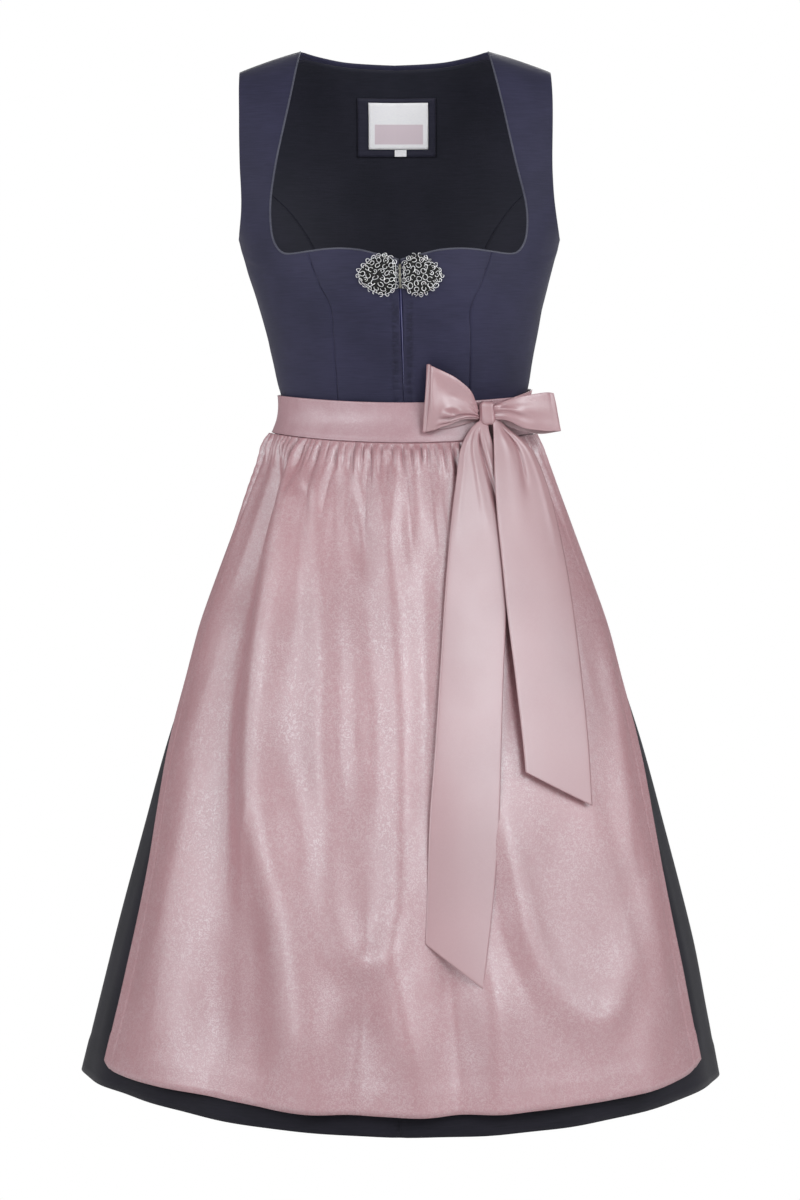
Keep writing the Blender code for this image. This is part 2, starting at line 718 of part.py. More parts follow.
def clasp_hook():
    top, bottom = figure(0.0, HOOK_TOP, HOOK_OUT), figure(0.0, HOOK_BOTTOM, HOOK_OUT)
    builder = bmesh.new()
    bmesh.ops.create_cone(builder, cap_ends=True, segments=10, radius1=HOOK_RADIUS, radius2=HOOK_RADIUS,
                          depth=(top - bottom).length)
    hook = add_object("clasp_hook", builder, "old silver")
    hook.location = (top + bottom) / 2
    hook.rotation_mode = "QUATERNION"
    hook.rotation_quaternion = (top - bottom).to_track_quat("Z", "Y")


def gather_wave(column, wavering):
    """Height of a gather at one of its columns, never quite the same as its neighbour's."""
    uneven = 0.75 + 0.25 * math.sin(wavering * column / GATHER_COLUMNS)
    return math.cos(math.tau * column / GATHER_COLUMNS) * uneven


def skirt_fold(angle, drop):
    """Soft folds that open towards the hem, deep at the back and slight in front."""
    behind = ease(abs((angle + 180.0) % 360.0 - 180.0), *BACK_FOLDS_START)
    depth = FRONT_FOLD_DEPTH + (BACK_FOLD_DEPTH - FRONT_FOLD_DEPTH) * behind
    turn = math.radians(angle)
    wave = math.cos(2 * BACK_FOLDS * turn + 0.9 * math.sin(3 * turn)) * (0.72 + 0.28 * math.sin(5 * turn))
    return depth * wave * ease(drop, *SKIRT_FOLD_RISE)


def skirt_drop(angle, level):
    """The drop at one level of the skirt, whose hem isn't of even height."""
    share = (level - WAIST_DROP) / (SKIRT_HEM_DROP - WAIST_DROP)
    return level + (read(SKIRT_HEM, 1, angle) - SKIRT_HEM_DROP) * share ** 2


def skirt_front():
    drops = (WAIST_DROP + WAIST_GAP / 2,) + SKIRT_FRONT_DROPS + (SKIRT_HEM_DROP,)
    for name, start in (("skirt_front_right", -90.0), ("skirt_front_left", 0.0)):
        rows = []
        for level in drops:
            row = []
            for column in range(SKIRT_FRONT_COLUMNS + 1):
                angle = start + 90.0 * column / SKIRT_FRONT_COLUMNS
                drop = skirt_drop(angle, level)
                row.append(figure(angle, drop, skirt_fold(angle, drop)))
            rows.append(row)
        wall(name, drawn_in(rows), SKIRT_CLOTH, "navy skirt")


def skirt_back():
    columns = SKIRT_GATHERS * GATHER_COLUMNS
    zones = (
        ((WAIST_DROP + WAIST_GAP / 2,) + SKIRT_GATHERED_DROPS, 1),
        (SKIRT_HALVED_DROPS, 2),
        (SKIRT_FOLDED_DROPS + (SKIRT_HEM_DROP,), 4),
    )
    rows = []
    for drops, stride in zones:
        for level in drops:
            depth = GATHER_DEPTH * ease(level, *GATHER_RISE) * (1.0 - ease(level, *GATHER_FADE))
            row = []
            for column in range(0, columns + 1, stride):
                angle = 90.0 + 180.0 * column / columns
                drop = skirt_drop(angle, level)
                fade = min(1.0, column / PLAIN_END_COLUMNS, (columns - column) / PLAIN_END_COLUMNS)
                out = depth * gather_wave(column, SKIRT_WAVERING) * fade + skirt_fold(angle, drop)
                row.append(figure(angle, drop, out))
            rows.append(row)
    wall("skirt_back", drawn_in(rows), SKIRT_CLOTH, "navy skirt")


def band_drops(angle):
    dip = math.cos(math.radians(angle)) ** 2
    return BAND_TOP + BAND_TOP_DIP * dip, BAND_BOTTOM + BAND_BOTTOM_DIP * dip


def apron_band():
    rows = []
    for height in (0.0, 0.5, 1.0):
        out = BAND_OUT_BOTTOM + (BAND_OUT_TOP - BAND_OUT_BOTTOM) * height
        row = []
        for column in range(BAND_COLUMNS + 1):
            angle = BAND_LEFT + (BAND_RIGHT - BAND_LEFT) * column / BAND_COLUMNS
            top, bottom = band_drops(angle)
            row.append(figure(angle, bottom + (top - bottom) * height, out))
        rows.append(row)
    wall("apron_band", rows, BAND_CLOTH, "pink satin")


def apron_fold(angle, drop):
    """Sum of the long folds at a place; each one drifts sideways on its way down."""
    height = 0.0
    for top, middle, bottom, first, last, half_width, peak in APRON_FOLDS:
        share = (drop - first) / (last - first)
        if 0.0 < share < 1.0:
            path = (1 - share) * (1 - 2 * share) * top + 4 * share * (1 - share) * middle
            path += share * (2 * share - 1) * bottom
            fade = ease(share, 0.0, FOLD_START)
            fade *= 1.0 - (1.0 - FOLD_LEFT_AT_END) * ease(share, FOLD_END, 1.0)
            height += peak * fade * math.exp(-((angle - path) / half_width) ** 2)
    return height


def apron_panel():
    columns = APRON_GATHERS * GATHER_COLUMNS
    zones = (
        ((BAND_BOTTOM,) + APRON_GATHERED_DROPS, 1),
        (APRON_HALVED_DROPS, 2),
        (APRON_FOLDED_DROPS + (APRON_HEM_DROP,), 4),
    )
    rows = []
    for drops, stride in zones:
        for level in drops:
            left, right = read(APRON_SIDES, 1, level), read(APRON_SIDES, 2, level)
            share = (level - BAND_BOTTOM) / (APRON_HEM_DROP - BAND_BOTTOM)
            row = []
            for column in range(0, columns + 1, stride):
                angle = left + (right - left) * column / columns
                first = band_drops(angle)[1] + SEAM_GAP
                drop = first + (read(APRON_HEM, 1, angle) - first) * share
                rise = APRON_GATHER_AT_BAND + (1.0 - APRON_GATHER_AT_BAND) * ease(drop, *APRON_GATHER_RISE)
                depth = APRON_GATHER_DEPTH * rise * (1.0 - ease(drop, *APRON_GATHER_FADE))
                base = APRON_OUT_TOP + (APRON_OUT_LOW - APRON_OUT_TOP) * ease(drop, *APRON_OUT_FADE)
                out = base + depth * gather_wave(column, APRON_WAVERING) + apron_fold(angle, drop)
                row.append(figure(angle, drop, out))
            rows.append(row)
    wall("apron_panel", rows, APRON_CLOTH, "pink satin")


def tie_round_back():
    rows = []
    stations = along(TIE_ROUND_BACK, (len(TIE_ROUND_BACK) - 1) * TIE_ROWS_BETWEEN)
    for angle, top, bottom, out in stations:
        drops = [bottom + (top - bottom) * step / TIE_COLUMNS for step in range(TIE_COLUMNS + 1)]
        rows.append([figure(angle, drop, out) for drop in drops])
    wall("tie_round_back", rows, APRON_CLOTH, "pink satin")


def bow_knot():
    """The short wrapped stretch that holds the bow, drawn in a little round its middle."""
    builder = bmesh.new()
    rings = []
    for height in KNOT_RINGS:
        swell = (1.0 - KNOT_ROUNDING * abs(height) ** 6) * (1.0 - KNOT_WAIST * (1.0 - height * height))
        ring = []
        for step in range(KNOT_AROUND):
            turn = math.tau * (step + 0.5) / KNOT_AROUND
            across, ahead = math.cos(turn), math.sin(turn)
            x = KNOT_HALF_SIZE[0] * swell * math.copysign(abs(across) ** KNOT_SQUARE_ACROSS, across)
            y = KNOT_HALF_SIZE[1] * swell * math.copysign(abs(ahead) ** KNOT_SQUARE_AHEAD, ahead)
            offset = Vector((x, y, KNOT_HALF_SIZE[2] * height))
            ring.append(builder.verts.new(standing(Vector(KNOT_MIDDLE) + offset)))
        rings.append(ring)
    for lower, upper in zip(rings, rings[1:]):
        join_rows(builder, lower + lower[:1], upper + upper[:1])
    builder.faces.new(rings[0])
    builder.faces.new(rings[-1])
    bmesh.ops.recalc_face_normals(builder, faces=builder.faces)
    add_object("bow_knot", builder, "pink satin")


def bow_loop(name, table):
    """A ribbon that runs out from the knot, turns at its fold and comes back behind itself."""
    rows = []
    for station in along(table, (len(table) - 1) * LOOP_SPANS_SPLIT):
        upper = Vector((station[0], station[2], -station[1]))
        lower = Vector((station[3], station[5], -station[4]))
        row = []
        for column in range(LOOP_COLUMNS + 1):
            share = column / LOOP_COLUMNS
            forward = Vector((0.0, -4.0 * share * (1.0 - share) * station[6], 0.0))
            row.append(upper.lerp(lower, share) + forward)
        rows.append(row)
    wall(name, rows, APRON_CLOTH, "pink satin")


def tie_tail(name, table):
    """A hanging end of the tie: it lies over the apron, pleated where it leaves the knot."""
    rows = []
    for left_x, left_drop, right_x, right_drop, out in along(table, (len(table) - 1) * 2):
        row = []
        for column in range(TAIL_COLUMNS + 1):
            share = column / TAIL_COLUMNS
            x = left_x + (right_x - left_x) * share
            drop = left_drop + (right_drop - left_drop) * share
            pleat = TAIL_PLEAT_DEPTH * math.cos(math.tau * TAIL_PLEATS * share)
            pleat *= ease(drop, *TAIL_PLEAT_RISE) * (1.0 - ease(drop, *TAIL_PLEAT_FADE))
            row.append(figure(angle_at(x, drop, out), drop, out + pleat))
        rows.append(row)
    wall(name, rows, APRON_CLOTH, "pink satin")


def main():
    clear_scene()
    bodice_front()
    bodice_side_front()
    bodice_back()
    back_lining()
    front_underlap()
    labels()
    clasp_half("clasp_left", 1)
    clasp_half("clasp_right", -1)
    clasp_hook()
    skirt_front()
    skirt_back()
    apron_band()
    apron_panel()
    tie_round_back()
    bow_knot()
    bow_loop("bow_loop_left", LOOP_LEFT)
    bow_loop("bow_loop_right", LOOP_RIGHT)
    tie_tail("tie_tail_long", TAIL_LONG)
    tie_tail("tie_tail_short", TAIL_SHORT)


main()
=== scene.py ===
"""The looks of the dirndl: its cloth with gathers, folds and stitching, the bow, the clasp and the light.

Metres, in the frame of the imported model: the front faces -Y and the wearer's left is +X. A drop is a distance
below the shoulders, an angle runs round the body from the middle of the front (0) by the wearer's left (90),
and "out" is a distance outside the figure that the dress is cut for. Tables hold one row for each section,
edge point or fold.
"""

import math

import bpy
import numpy as np
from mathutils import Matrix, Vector


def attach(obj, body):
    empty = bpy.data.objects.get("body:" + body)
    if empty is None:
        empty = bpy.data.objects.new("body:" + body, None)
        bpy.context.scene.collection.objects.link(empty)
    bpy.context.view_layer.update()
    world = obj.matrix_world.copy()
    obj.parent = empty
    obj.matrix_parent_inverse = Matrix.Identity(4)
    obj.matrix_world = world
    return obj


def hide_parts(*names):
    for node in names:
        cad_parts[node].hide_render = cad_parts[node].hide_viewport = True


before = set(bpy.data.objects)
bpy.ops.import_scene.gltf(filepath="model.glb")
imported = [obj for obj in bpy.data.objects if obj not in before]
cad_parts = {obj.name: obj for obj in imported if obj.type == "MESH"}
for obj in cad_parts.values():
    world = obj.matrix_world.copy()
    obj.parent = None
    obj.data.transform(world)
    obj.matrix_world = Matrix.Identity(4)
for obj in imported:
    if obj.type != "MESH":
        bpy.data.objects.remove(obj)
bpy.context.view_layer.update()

MM = 0.001


def lengths(*rows):
    """A table given in millimetres, as metres."""
    return MM * np.array(rows)


# Level sections of the figure: drop, half width, depth to the front, depth to the back
FIGURE = lengths(
    (0, 172, 0, 0), (3, 173, 12, 13), (10, 174, 25, 27), (22, 176, 38, 42), (45, 178, 54, 61),
    (75, 178, 70, 74), (110, 175, 86, 83), (145, 167, 100, 87), (180, 154.7, 110, 87),
    (215, 145.4, 116, 84), (240, 138.2, 115, 80), (267, 131.8, 108, 75), (301, 124.6, 96, 71.5),
    (320, 121.2, 90.5, 71), (334, 117.8, 87, 71.5), (352, 118.3, 86.5, 74.5), (371, 126.2, 93, 83),
    (405, 139.3, 106, 99.5), (456.5, 158.2, 124, 122), (503.5, 176.2, 141.5, 141.5),
    (551.5, 194.2, 158.5, 160), (600, 209, 172.5, 175.5), (668, 231, 191.5, 196),
    (745.5, 252.4, 209.5, 216), (855, 281.6, 233.5, 240), (928, 298.1, 247.5, 253), (1000, 314.2, 259, 265),
)
# How far the figure's middle stands to the side: drop, distance
STANCE = lengths(
    (0, -5.5), (50, -4.2), (110, -3.8), (160, -1.2), (220, 0), (300, 2.7), (400, 4.5), (600, 4.2),
    (860, 3.4), (930, 1.5), (1000, -0.5),
)
# Edges of the bodice's pieces, of the neck and of a clasp half: distance from the middle, drop
CENTRE_OPENING = lengths((0.2, 352), (0.2, 330), (0.7, 308), (1.5, 272), (1.8, 238), (0.8, 203.4))
FRONT_SEAM = lengths((60, 352), (63.2, 305), (64, 270), (65.5, 246), (76, 223), (86, 194.7))
NECK_TO_SHOULDER = lengths(
    (86, 194.7), (107, 196.2), (116.8, 187.5), (120.7, 172), (120.3, 148), (114.5, 116), (106, 75),
    (97, 32), (90.5, 0),
)
ARMHOLE_FRONT = lengths(
    (154.7, 180), (153.1, 173.5), (151, 164), (149.2, 152), (148.4, 138), (148.6, 112), (149.3, 80),
    (150, 48), (149.7, 20),
)
BACK_SEAM = lengths((52, 352), (55.5, 300), (66.5, 240), (86, 186), (113, 146), (147, 118))
ARMHOLE_BACK_LOW = lengths((154.7, 180), (153, 166), (149.2, 144), (147.5, 122.8))
ARMHOLE_BACK_HIGH = lengths((147, 118), (146.8, 90), (147.8, 56), (149.7, 20))
FRONT_NECK = lengths(
    (0, 203.4), (7.4, 201.1), (21, 197.8), (36, 194), (54, 192.3), (70, 192.8), (86, 194.7),
)
BACK_NECK = lengths((0, 7.5), (25, 7.2), (49, 6.2), (73, 3), (90.5, 0))
CLASP_RIM = lengths(
    (2.6, 206.5), (6, 201.5), (12.5, 197.5), (22.5, 199.2), (32.5, 206.8), (39.5, 216), (36.5, 223.5),
    (31, 229.5), (24, 234), (15.5, 236.8), (7.5, 233.5), (2.8, 227),
)
# Angle, drop
SKIRT_HEM = (
    (-90, 0.9925), (-76, 0.988), (-52, 0.986), (-25, 0.9933), (0, 0.997), (20, 0.9972), (45, 0.9938),
    (67, 0.992), (90, 0.996), (110, 0.994), (180, 0.993), (250, 0.991), (270, 0.9925),
)
# Drop, angles of the sides at the wearer's right and left
APRON_SIDES = (
    (0.366, -87.5, 78), (0.45, -85, 78.5), (0.56, -80, 77.5), (0.66, -74, 73), (0.74, -68.5, 68.8),
    (0.8, -65.4, 66.4), (0.87, -64.2, 65.2), (0.98, -64.3, 66.3),
)
# Angle, drop
APRON_HEM = (
    (-66, 0.957), (-61, 0.9655), (-44, 0.966), (-30, 0.9705), (0, 0.9755), (32, 0.974), (47, 0.9715),
    (61.5, 0.9672), (67, 0.96),
)
# Angle, drops of the upper and the lower edge, distance out
TIE_ROUND_BACK = (
    (-88.4, 0.3305, 0.3655, 0.0033), (-110, 0.329, 0.364, 0.0033), (-145, 0.3275, 0.3625, 0.0033),
    (-180, 0.3265, 0.362, 0.0033), (-215, 0.3255, 0.3615, 0.0033), (-245, 0.3245, 0.361, 0.0034),
    (-266, 0.324, 0.36, 0.0034), (-283, 0.3253, 0.3592, 0.0066), (-300, 0.33, 0.3575, 0.0076),
    (-310.5, 0.335, 0.3555, 0.0078),
)
# The bow's loops, from the knot round and back: x, drop and y of the upper edge, the same of the
# lower edge, and how far the cloth between them bulges
LOOP_LEFT = lengths(
    (69.8, 340.5, -83, 69.8, 352, -83, 1), (62.3, 326.2, -94, 56.8, 352, -93, 2.5),
    (46.3, 313, -102, 38.8, 357.8, -100, 5), (30.3, 304, -105, 24.8, 362.4, -103, 3.5),
    (24.8, 300.3, -104, 19.6, 363.6, -101.5, 1), (23, 300.3, -100.5, 17.8, 363.2, -98.5, 0),
    (25, 302.2, -97.5, 19.8, 362, -95.5, -0.5), (38.8, 314, -92.5, 37.8, 360.8, -91.5, 0),
    (55.8, 327, -86, 55.8, 357, -86, 1), (69.8, 340.5, -78, 69.8, 352.5, -78, 1),
)
LOOP_RIGHT = lengths(
    (84.2, 339, -81.5, 84.2, 352, -81.5, 1), (96.8, 334.5, -85.5, 97.8, 352.8, -84.5, 3),
    (110.8, 330.5, -84.5, 113.3, 359.8, -82.5, 4), (127.8, 327.5, -77.5, 131.8, 363, -74.5, 2.5),
    (139.3, 326.7, -70, 145, 363.4, -67, 1), (142.4, 328.2, -65.5, 148.6, 363.4, -62.5, 0),
    (139.8, 329.7, -62, 145.8, 364.2, -59, -0.5), (125.8, 331.2, -65, 128.8, 366.2, -62, 0),
    (106.8, 335.2, -72, 108.8, 362.5, -69, 1), (84.2, 340.5, -77, 84.2, 353, -77, 1),
)
# The bow's tails: x and drop of one edge, x and drop of the other, distance out
TAIL_LONG = lengths(
    (72.2, 352.5, 80, 352.5, 13.5), (62.5, 361, 79.7, 362, 15), (52.4, 380, 84.3, 380, 14.8),
    (47.8, 410, 88, 411, 15), (42.4, 452, 91.3, 456, 15), (37, 513, 94.3, 518, 15),
    (32.6, 581.2, 91.3, 585, 15), (27.8, 651.9, 88.8, 656, 15), (23.1, 712.3, 86.2, 725, 15),
    (20.8, 772, 80.8, 790, 15), (19.3, 823.6, 71.9, 864.6, 15),
)
TAIL_SHORT = lengths(
    (83.8, 350, 90, 352, 18.5), (84.2, 362, 97.5, 360, 18.5), (84.3, 384, 119.8, 380, 18.7),
    (84.5, 408, 132.3, 406, 19), (86.7, 444, 142.8, 442, 19.2), (90.9, 486, 152.1, 486, 19.2),
    (95.3, 532, 159.3, 534, 19.2), (101.8, 584, 165.8, 590, 19.2), (108.3, 640, 171.3, 650, 19.2),
    (111.4, 673.6, 174.3, 708.5, 19.2),
)
# Columns of the figure, slope of its shoulders and squareness of its sections, with where they fade out
HALF_WIDTH, FRONT_DEPTH, BACK_DEPTH = 1, 2, 3
SHOULDER_RISE, SHOULDER_SLOPE, SHOULDER_FADE = 0.0307, 0.339, (0.18, 0.04)
BODICE_SQUARENESS, SQUARENESS_FADE = 2.2, (0.26, 0.36)
WAIST_DROP, UNDERARM_DROP, NECK_POINT = 0.352, 0.18, 0.0905
SKIRT_TOP, SKIRT_BOTTOM = 0.3528, 0.997
APRON_TOP, APRON_LENGTH = 0.366, 0.613
LINING_INSET = 0.0018
CLASP_CENTRE = np.array((0.0195, 0.217))
KNOT_PLACE = (0.0788, -0.08, -0.3462)
SKIRT_HEM_DEPTH, APRON_HEM_DEPTH, APRON_SIDE_DEPTH = 0.035, 0.03, 0.018
# How late a panel's rows bend to its upper edge, rows for each step of an edge, and the grid behind uneven()
TOP_EDGE_REACH = 3
FINER = 6
KNOTS = (37, 41)
SIDES = (("left", 1), ("right", -1))

# Labels: name, middle, half width, top drop, bottom drop, height over the lining
LABEL_PIECES = (
    ("label_patch", 0.0008, 0.0395, 0.0385, 0.095, 0.0018), ("label", 0.0026, 0.0303, 0.0428, 0.0875, 0.0034),
    ("label_tab", 0.0048, 0.006, 0.088, 0.0945, 0.0034),
)
# Folds of the apron in millimetres: half width at the start and at the end, height, then the line that
# the fold follows, x and drop by turns
APRON_FOLDS = (
    # Broad ridge towards the wearer's right
    (13, 30, 6, -147, 486, -165, 560, -183, 653, -202, 755, -213, 845, -220, 926, -225, 967, -234, 1037),
    # Main trough, the ridge beside it and what crosses it
    (12, 34, -15.5, -108, 335, -114, 380, -122, 415, -134, 453, -149, 508, -159, 559, -166, 613, -170, 667,
        -172, 722, -173, 775, -173, 829, -174, 882, -175, 958, -176, 1028),
    (13, 38, 16.5, -98, 334, -100, 379, -102, 414, -109, 465, -118, 520, -126, 575, -132, 629, -130, 682,
        -120, 736, -106, 788, -95, 841, -88, 902, -86, 959, -85, 1029),
    (5, 6, 1.6, -124, 674, -131, 702, -141, 738, -146, 779, -149, 810),
    (17, 20, 3.2, -94, 428, -96, 483, -99, 538, -100, 601, -98, 655, -94, 699),
    # Hanging fold in the middle, then what lies inside and beside it
    (15, 19, 6.2, -84, 334, -81, 379, -77, 409, -75, 482, -72, 555, -71, 627, -69, 698, -66, 760, -61, 803,
        -49, 829, -30, 839, -11, 828, -1, 798, 2, 756, 2, 697, 2, 626, -2, 554, -7, 481, -10, 418, -12, 378,
        -14, 333),
    (13, 15, 4, -45, 482, -41, 554, -39, 626, -37, 679, -37, 737),
    (10, 12, -2.6, 20, 468, 22, 509, 23, 572, 22, 643, 19, 715, 15, 777),
    (6, 9, -3.8, -45, 392, -41, 431, -34, 463, -29, 509),
    (5, 6, -3, -84, 332, -86, 377, -89, 409, -84, 427, -89, 455, -92, 506),
    (6, 8, -2.4, -57, 332, -59, 377, -61, 418, -60, 464, -61, 509),
    (6, 8, -2.4, -2, 335, -1, 380, 0, 427, 4, 481, 9, 536),
    # Low folds in the middle
    (17, 28, 10.5, -9, 790, -2, 860, 9, 917, 18, 978, 21, 1048),
    (17, 25, -8.5, -31, 830, -38, 888, -43, 927, -49, 972, -58, 1042),
    (17, 25, -10, 45, 799, 51, 874, 54, 927, 56, 979, 59, 1049),
    (15, 23, 6.5, 82, 823, 88, 898, 90, 933, 92, 979, 95, 1049),
    # Hanging fold on the wearer's left, then the hollows beside it
    (14, 19, 6, 94, 672, 101, 744, 110, 802, 124, 843, 145, 876, 171, 899, 190, 901, 204, 882, 209, 839,
        206, 790),
    (10, 13, -2.6, 81, 725, 88, 779, 96, 828, 113, 869, 136, 900),
    (16, 20, -3.4, 138, 693, 141, 755, 154, 806, 173, 843, 185, 871),
    # Towards the sides
    (14, 22, 5, 228, 731, 238, 805, 241, 876, 234, 960, 228, 1030),
    (9, 11, 3.6, 189, 518, 198, 582, 208, 655, 218, 729, 221, 792),
    # Wide hollow low on the wearer's right
    (18, 26, -5, -127, 746, -130, 817, -133, 888, -136, 984, -138, 1054),
    # Slight hollows on the wearer's left
    (8, 10, -2.8, 200, 531, 214, 603, 225, 677, 238, 751),
    (8, 12, -2.6, 108, 520, 111, 610, 107, 681),
)
# The clasp's dark plate: its rings' shares of the rim. Its curls: share of the rim, count, radius
PLATE_RINGS = (0.95, 0.92, 0.8, 0.6, 0.4, 0.2, 0.02)
CURL_RINGS = ((0.935, 20, 0.002), (0.71, 13, 0.0021), (0.47, 8, 0.0021), (0.22, 4, 0.0021))
# Gathers in three sizes: share of the count, how far down they reach, depth, sharpness of their valleys
GATHER_SIZES = ((1, 0.036, 3.9, 0.7), (0.46, 0.095, 2.8, 1), (0.24, 0.17, 1.2, 1.6))


def ease(value, start, end):
    """Runs smoothly from 0 at the start to 1 at the end, which may lie below the start."""
    share = np.clip((value - start) / (end - start), 0, 1)
    return share * share * (3 - 2 * share)


def bend(share, before, first, last, after):
    """One smooth stretch from first to last, given the slopes at its two ends."""
    square, cube = share ** 2, share ** 3
    middle = (2 * cube - 3 * square + 1) * first + (3 * square - 2 * cube) * last
    return middle + (cube - 2 * square + share) * before + (cube - square) * after


def read(table, column, at):
    """Reads a column as a smooth curve over the table's first column."""
    rows = np.array(table, float)
    x, y = rows[:, 0], rows[:, column]
    at = np.clip(at, x[0], x[-1])
    low, high = (np.clip(np.arange(len(x)) + step, 0, len(x) - 1) for step in (-1, 1))
    slope = (y[high] - y[low]) / (x[high] - x[low])
    row = np.clip(np.searchsorted(x, at) - 1, 0, len(x) - 2)
    span = x[row + 1] - x[row]
    return bend((at - x[row]) / span, slope[row] * span, y[row], y[row + 1], slope[row + 1] * span)


def along(table, count):
    """Spreads count + 1 rows evenly over a table's rows, on a smooth curve through them."""
    rows = np.array(table, float)
    place = np.linspace(0, len(rows) - 1, count + 1)
    index = np.minimum(place.astype(int), len(rows) - 2)
    before, first, last, after = (rows[np.clip(index + step, 0, len(rows) - 1)] for step in (-1, 0, 1, 2))
    return bend((place - index)[:, None], (last - before) / 2, first, last, (after - first) / 2)


def squareness(drop):
    return BODICE_SQUARENESS - (BODICE_SQUARENESS - 2) * ease(drop, *SQUARENESS_FADE)


def figure(angle, drop, out=0):
    """Points that lie a distance out from the figure, at angles and drops."""
    angle, drop, out = np.broadcast_arrays(angle, drop, out)
    power = 2 / squareness(drop)
    across, ahead = np.sin(np.radians(angle)), np.cos(np.radians(angle))
    x = (read(FIGURE, HALF_WIDTH, drop) + out) * np.sign(across) * np.abs(across) ** power
    lift = (SHOULDER_RISE - SHOULDER_SLOPE * np.abs(x)) * ease(drop, *SHOULDER_FADE)
    level = np.maximum(0, drop + lift)
    depth = np.where(ahead > 0, read(FIGURE, FRONT_DEPTH, level), read(FIGURE, BACK_DEPTH, level)) + out
    y = -depth * np.sign(ahead) * np.abs(ahead) ** power
    return np.stack((x + read(STANCE, 1, drop), y, -drop), axis=-1)


def angle_at(x, drop, out=0, back=False):
    """The angles at which the figure is x to the side of its middle."""
    reach = np.minimum(1, np.abs(x) / (read(FIGURE, HALF_WIDTH, drop) + out))
    angle = np.degrees(np.arcsin(reach ** (squareness(drop) / 2))) * np.sign(x)
    return 180 - angle if back else angle


def uneven(across, down, seed):
    """Soft unevenness between -1 and 1, in waves about two units long."""
    knots = np.random.default_rng(seed).uniform(-1, 1, KNOTS)
    across, down = np.broadcast_arrays(across, down)
    column, row = np.floor(across).astype(int), np.floor(down).astype(int)
    a, b = ease(across - column, 0, 1), ease(down - row, 0, 1)

    def level(line, place):
        return knots[line % KNOTS[0], place % KNOTS[1]]

    upper, lower = (level(line, column) * (1 - a) + level(line, column + 1) * a for line in (row, row + 1))
    return upper * (1 - b) + lower * b


def ridge(distance, width):
    """1 on a line, falling softly to 0 about twice the width away."""
    return np.exp(-(distance / width) ** 2)


def gathers(place, below, count, seed):
    """Height of cloth gathered into a seam: many small folds with sharp valleys and fewer long ones."""
    total = 0
    for size, (share, reach, depth, valley) in enumerate(GATHER_SIZES):
        chance = np.random.default_rng(seed + size)
        number = int(count * share) + 4
        own_depth, own_reach = chance.uniform(0.25, 1, number), chance.uniform(0.45, 1.25, number)
        phase = place * count * share + 0.8 + 0.42 * uneven(place * count * share / 2.3, 0, seed + 7 + size)
        fold = np.clip(np.floor(phase).astype(int), 0, number - 1)
        height = np.abs(np.sin(np.pi * phase)) ** valley - 0.5
        start = 0.3 + 0.7 * ease(below, 0, 0.007 / share)
        fade = ease(below, reach * own_reach[fold], 0.25 * reach * own_reach[fold])
        total += depth * height * own_depth[fold] * start * fade
    return total


# Cloth pieces


def column(first, last, count):
    return np.linspace(first, last, count)[:, None]


def row(first, last, count):
    return np.linspace(first, last, count)[None, :]


def distances(points, axis):
    """How far each point of a grid lies along its row or column, in both directions."""
    steps = np.linalg.norm(np.diff(points, axis=axis), axis=2)
    run = np.insert(np.cumsum(steps, axis=axis), 0, 0, axis=axis)
    return run, np.take(run, [-1], axis=axis) - run


def placed(name, data):
    thing = bpy.data.objects.new(name, data)
    bpy.context.scene.collection.objects.link(thing)
    return thing


def add_mesh(name, points, faces, finish):
    mesh = bpy.data.meshes.new(name)
    mesh.from_pydata(points.tolist(), [], faces.tolist())
    mesh.shade_smooth()
    mesh.materials.append(finish)
    return placed(name, mesh)


def cloth(name, points, finish, thickness=None):
    """The cloth of the solid of that name, on a grid of points through its middle, with a map in metres."""
    rows, columns = points.shape[:2]
    index = np.arange(rows * columns).reshape(rows, columns)
    corners = (index[:-1, :-1], index[:-1, 1:], index[1:, 1:], index[1:, :-1])
    faces = np.stack(corners, axis=-1).reshape(-1, 4)
    piece = add_mesh(name + "_cloth", points.reshape(-1, 3), faces, finish)
    place = np.stack((distances(points, 1)[0], distances(points, 0)[0]), axis=-1).reshape(-1, 2)
    layer = piece.data.uv_layers.new(name="metres")
    layer.uv.foreach_set("vector", place[faces.ravel()].astype(np.float32).ravel())
    solidify = piece.modifiers.new("cloth", "SOLIDIFY")
    slot, usual = CLOTHS[finish]
    solidify.thickness = thickness or usual
    solidify.offset = 0
    return worn(piece, name)


def ring_faces(rings, around, closed=False):
    """Faces between rings of points that follow one another."""
    here = np.arange(rings if closed else rings - 1)[:, None]
    beyond = (here + 1) % rings
    step = np.arange(around)[None, :]
    after = (step + 1) % around
    corners = (here * around + step, here * around + after, beyond * around + after, beyond * around + step)
    return np.stack(corners, axis=-1).reshape(-1, 4)


def tube(path, radius, sides=8, closed=False):
    """Points and faces of a round wire or cord along a path."""
    ahead = np.roll(path, -1, axis=0) - np.roll(path, 1, axis=0) if closed else np.gradient(path, axis=0)
    ahead /= np.linalg.norm(ahead, axis=1, keepdims=True)
    side = np.cross(ahead, (0, -1, 0.02))
    side /= np.linalg.norm(side, axis=1, keepdims=True)
    up = np.cross(side, ahead)
    turn = np.linspace(0, math.tau, sides, endpoint=False)[None, :, None]
    points = path[:, None] + radius * (np.cos(turn) * side[:, None] + np.sin(turn) * up[:, None])
    return points.reshape(-1, 3), ring_faces(len(path), sides, closed)


def joined(parts):
    """Several meshes' points and faces as one."""
    points, faces = zip(*parts)
    first = np.cumsum([0, *map(len, points)])
    return np.concatenate(points), np.concatenate([part + start for part, start in zip(faces, first)])


def worn(piece, node=None):
    """The piece hangs from the root body and, if a node is named, stands for that solid, which is hidden."""
    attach(piece, "root")
    if node:
        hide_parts(node)
    return piece


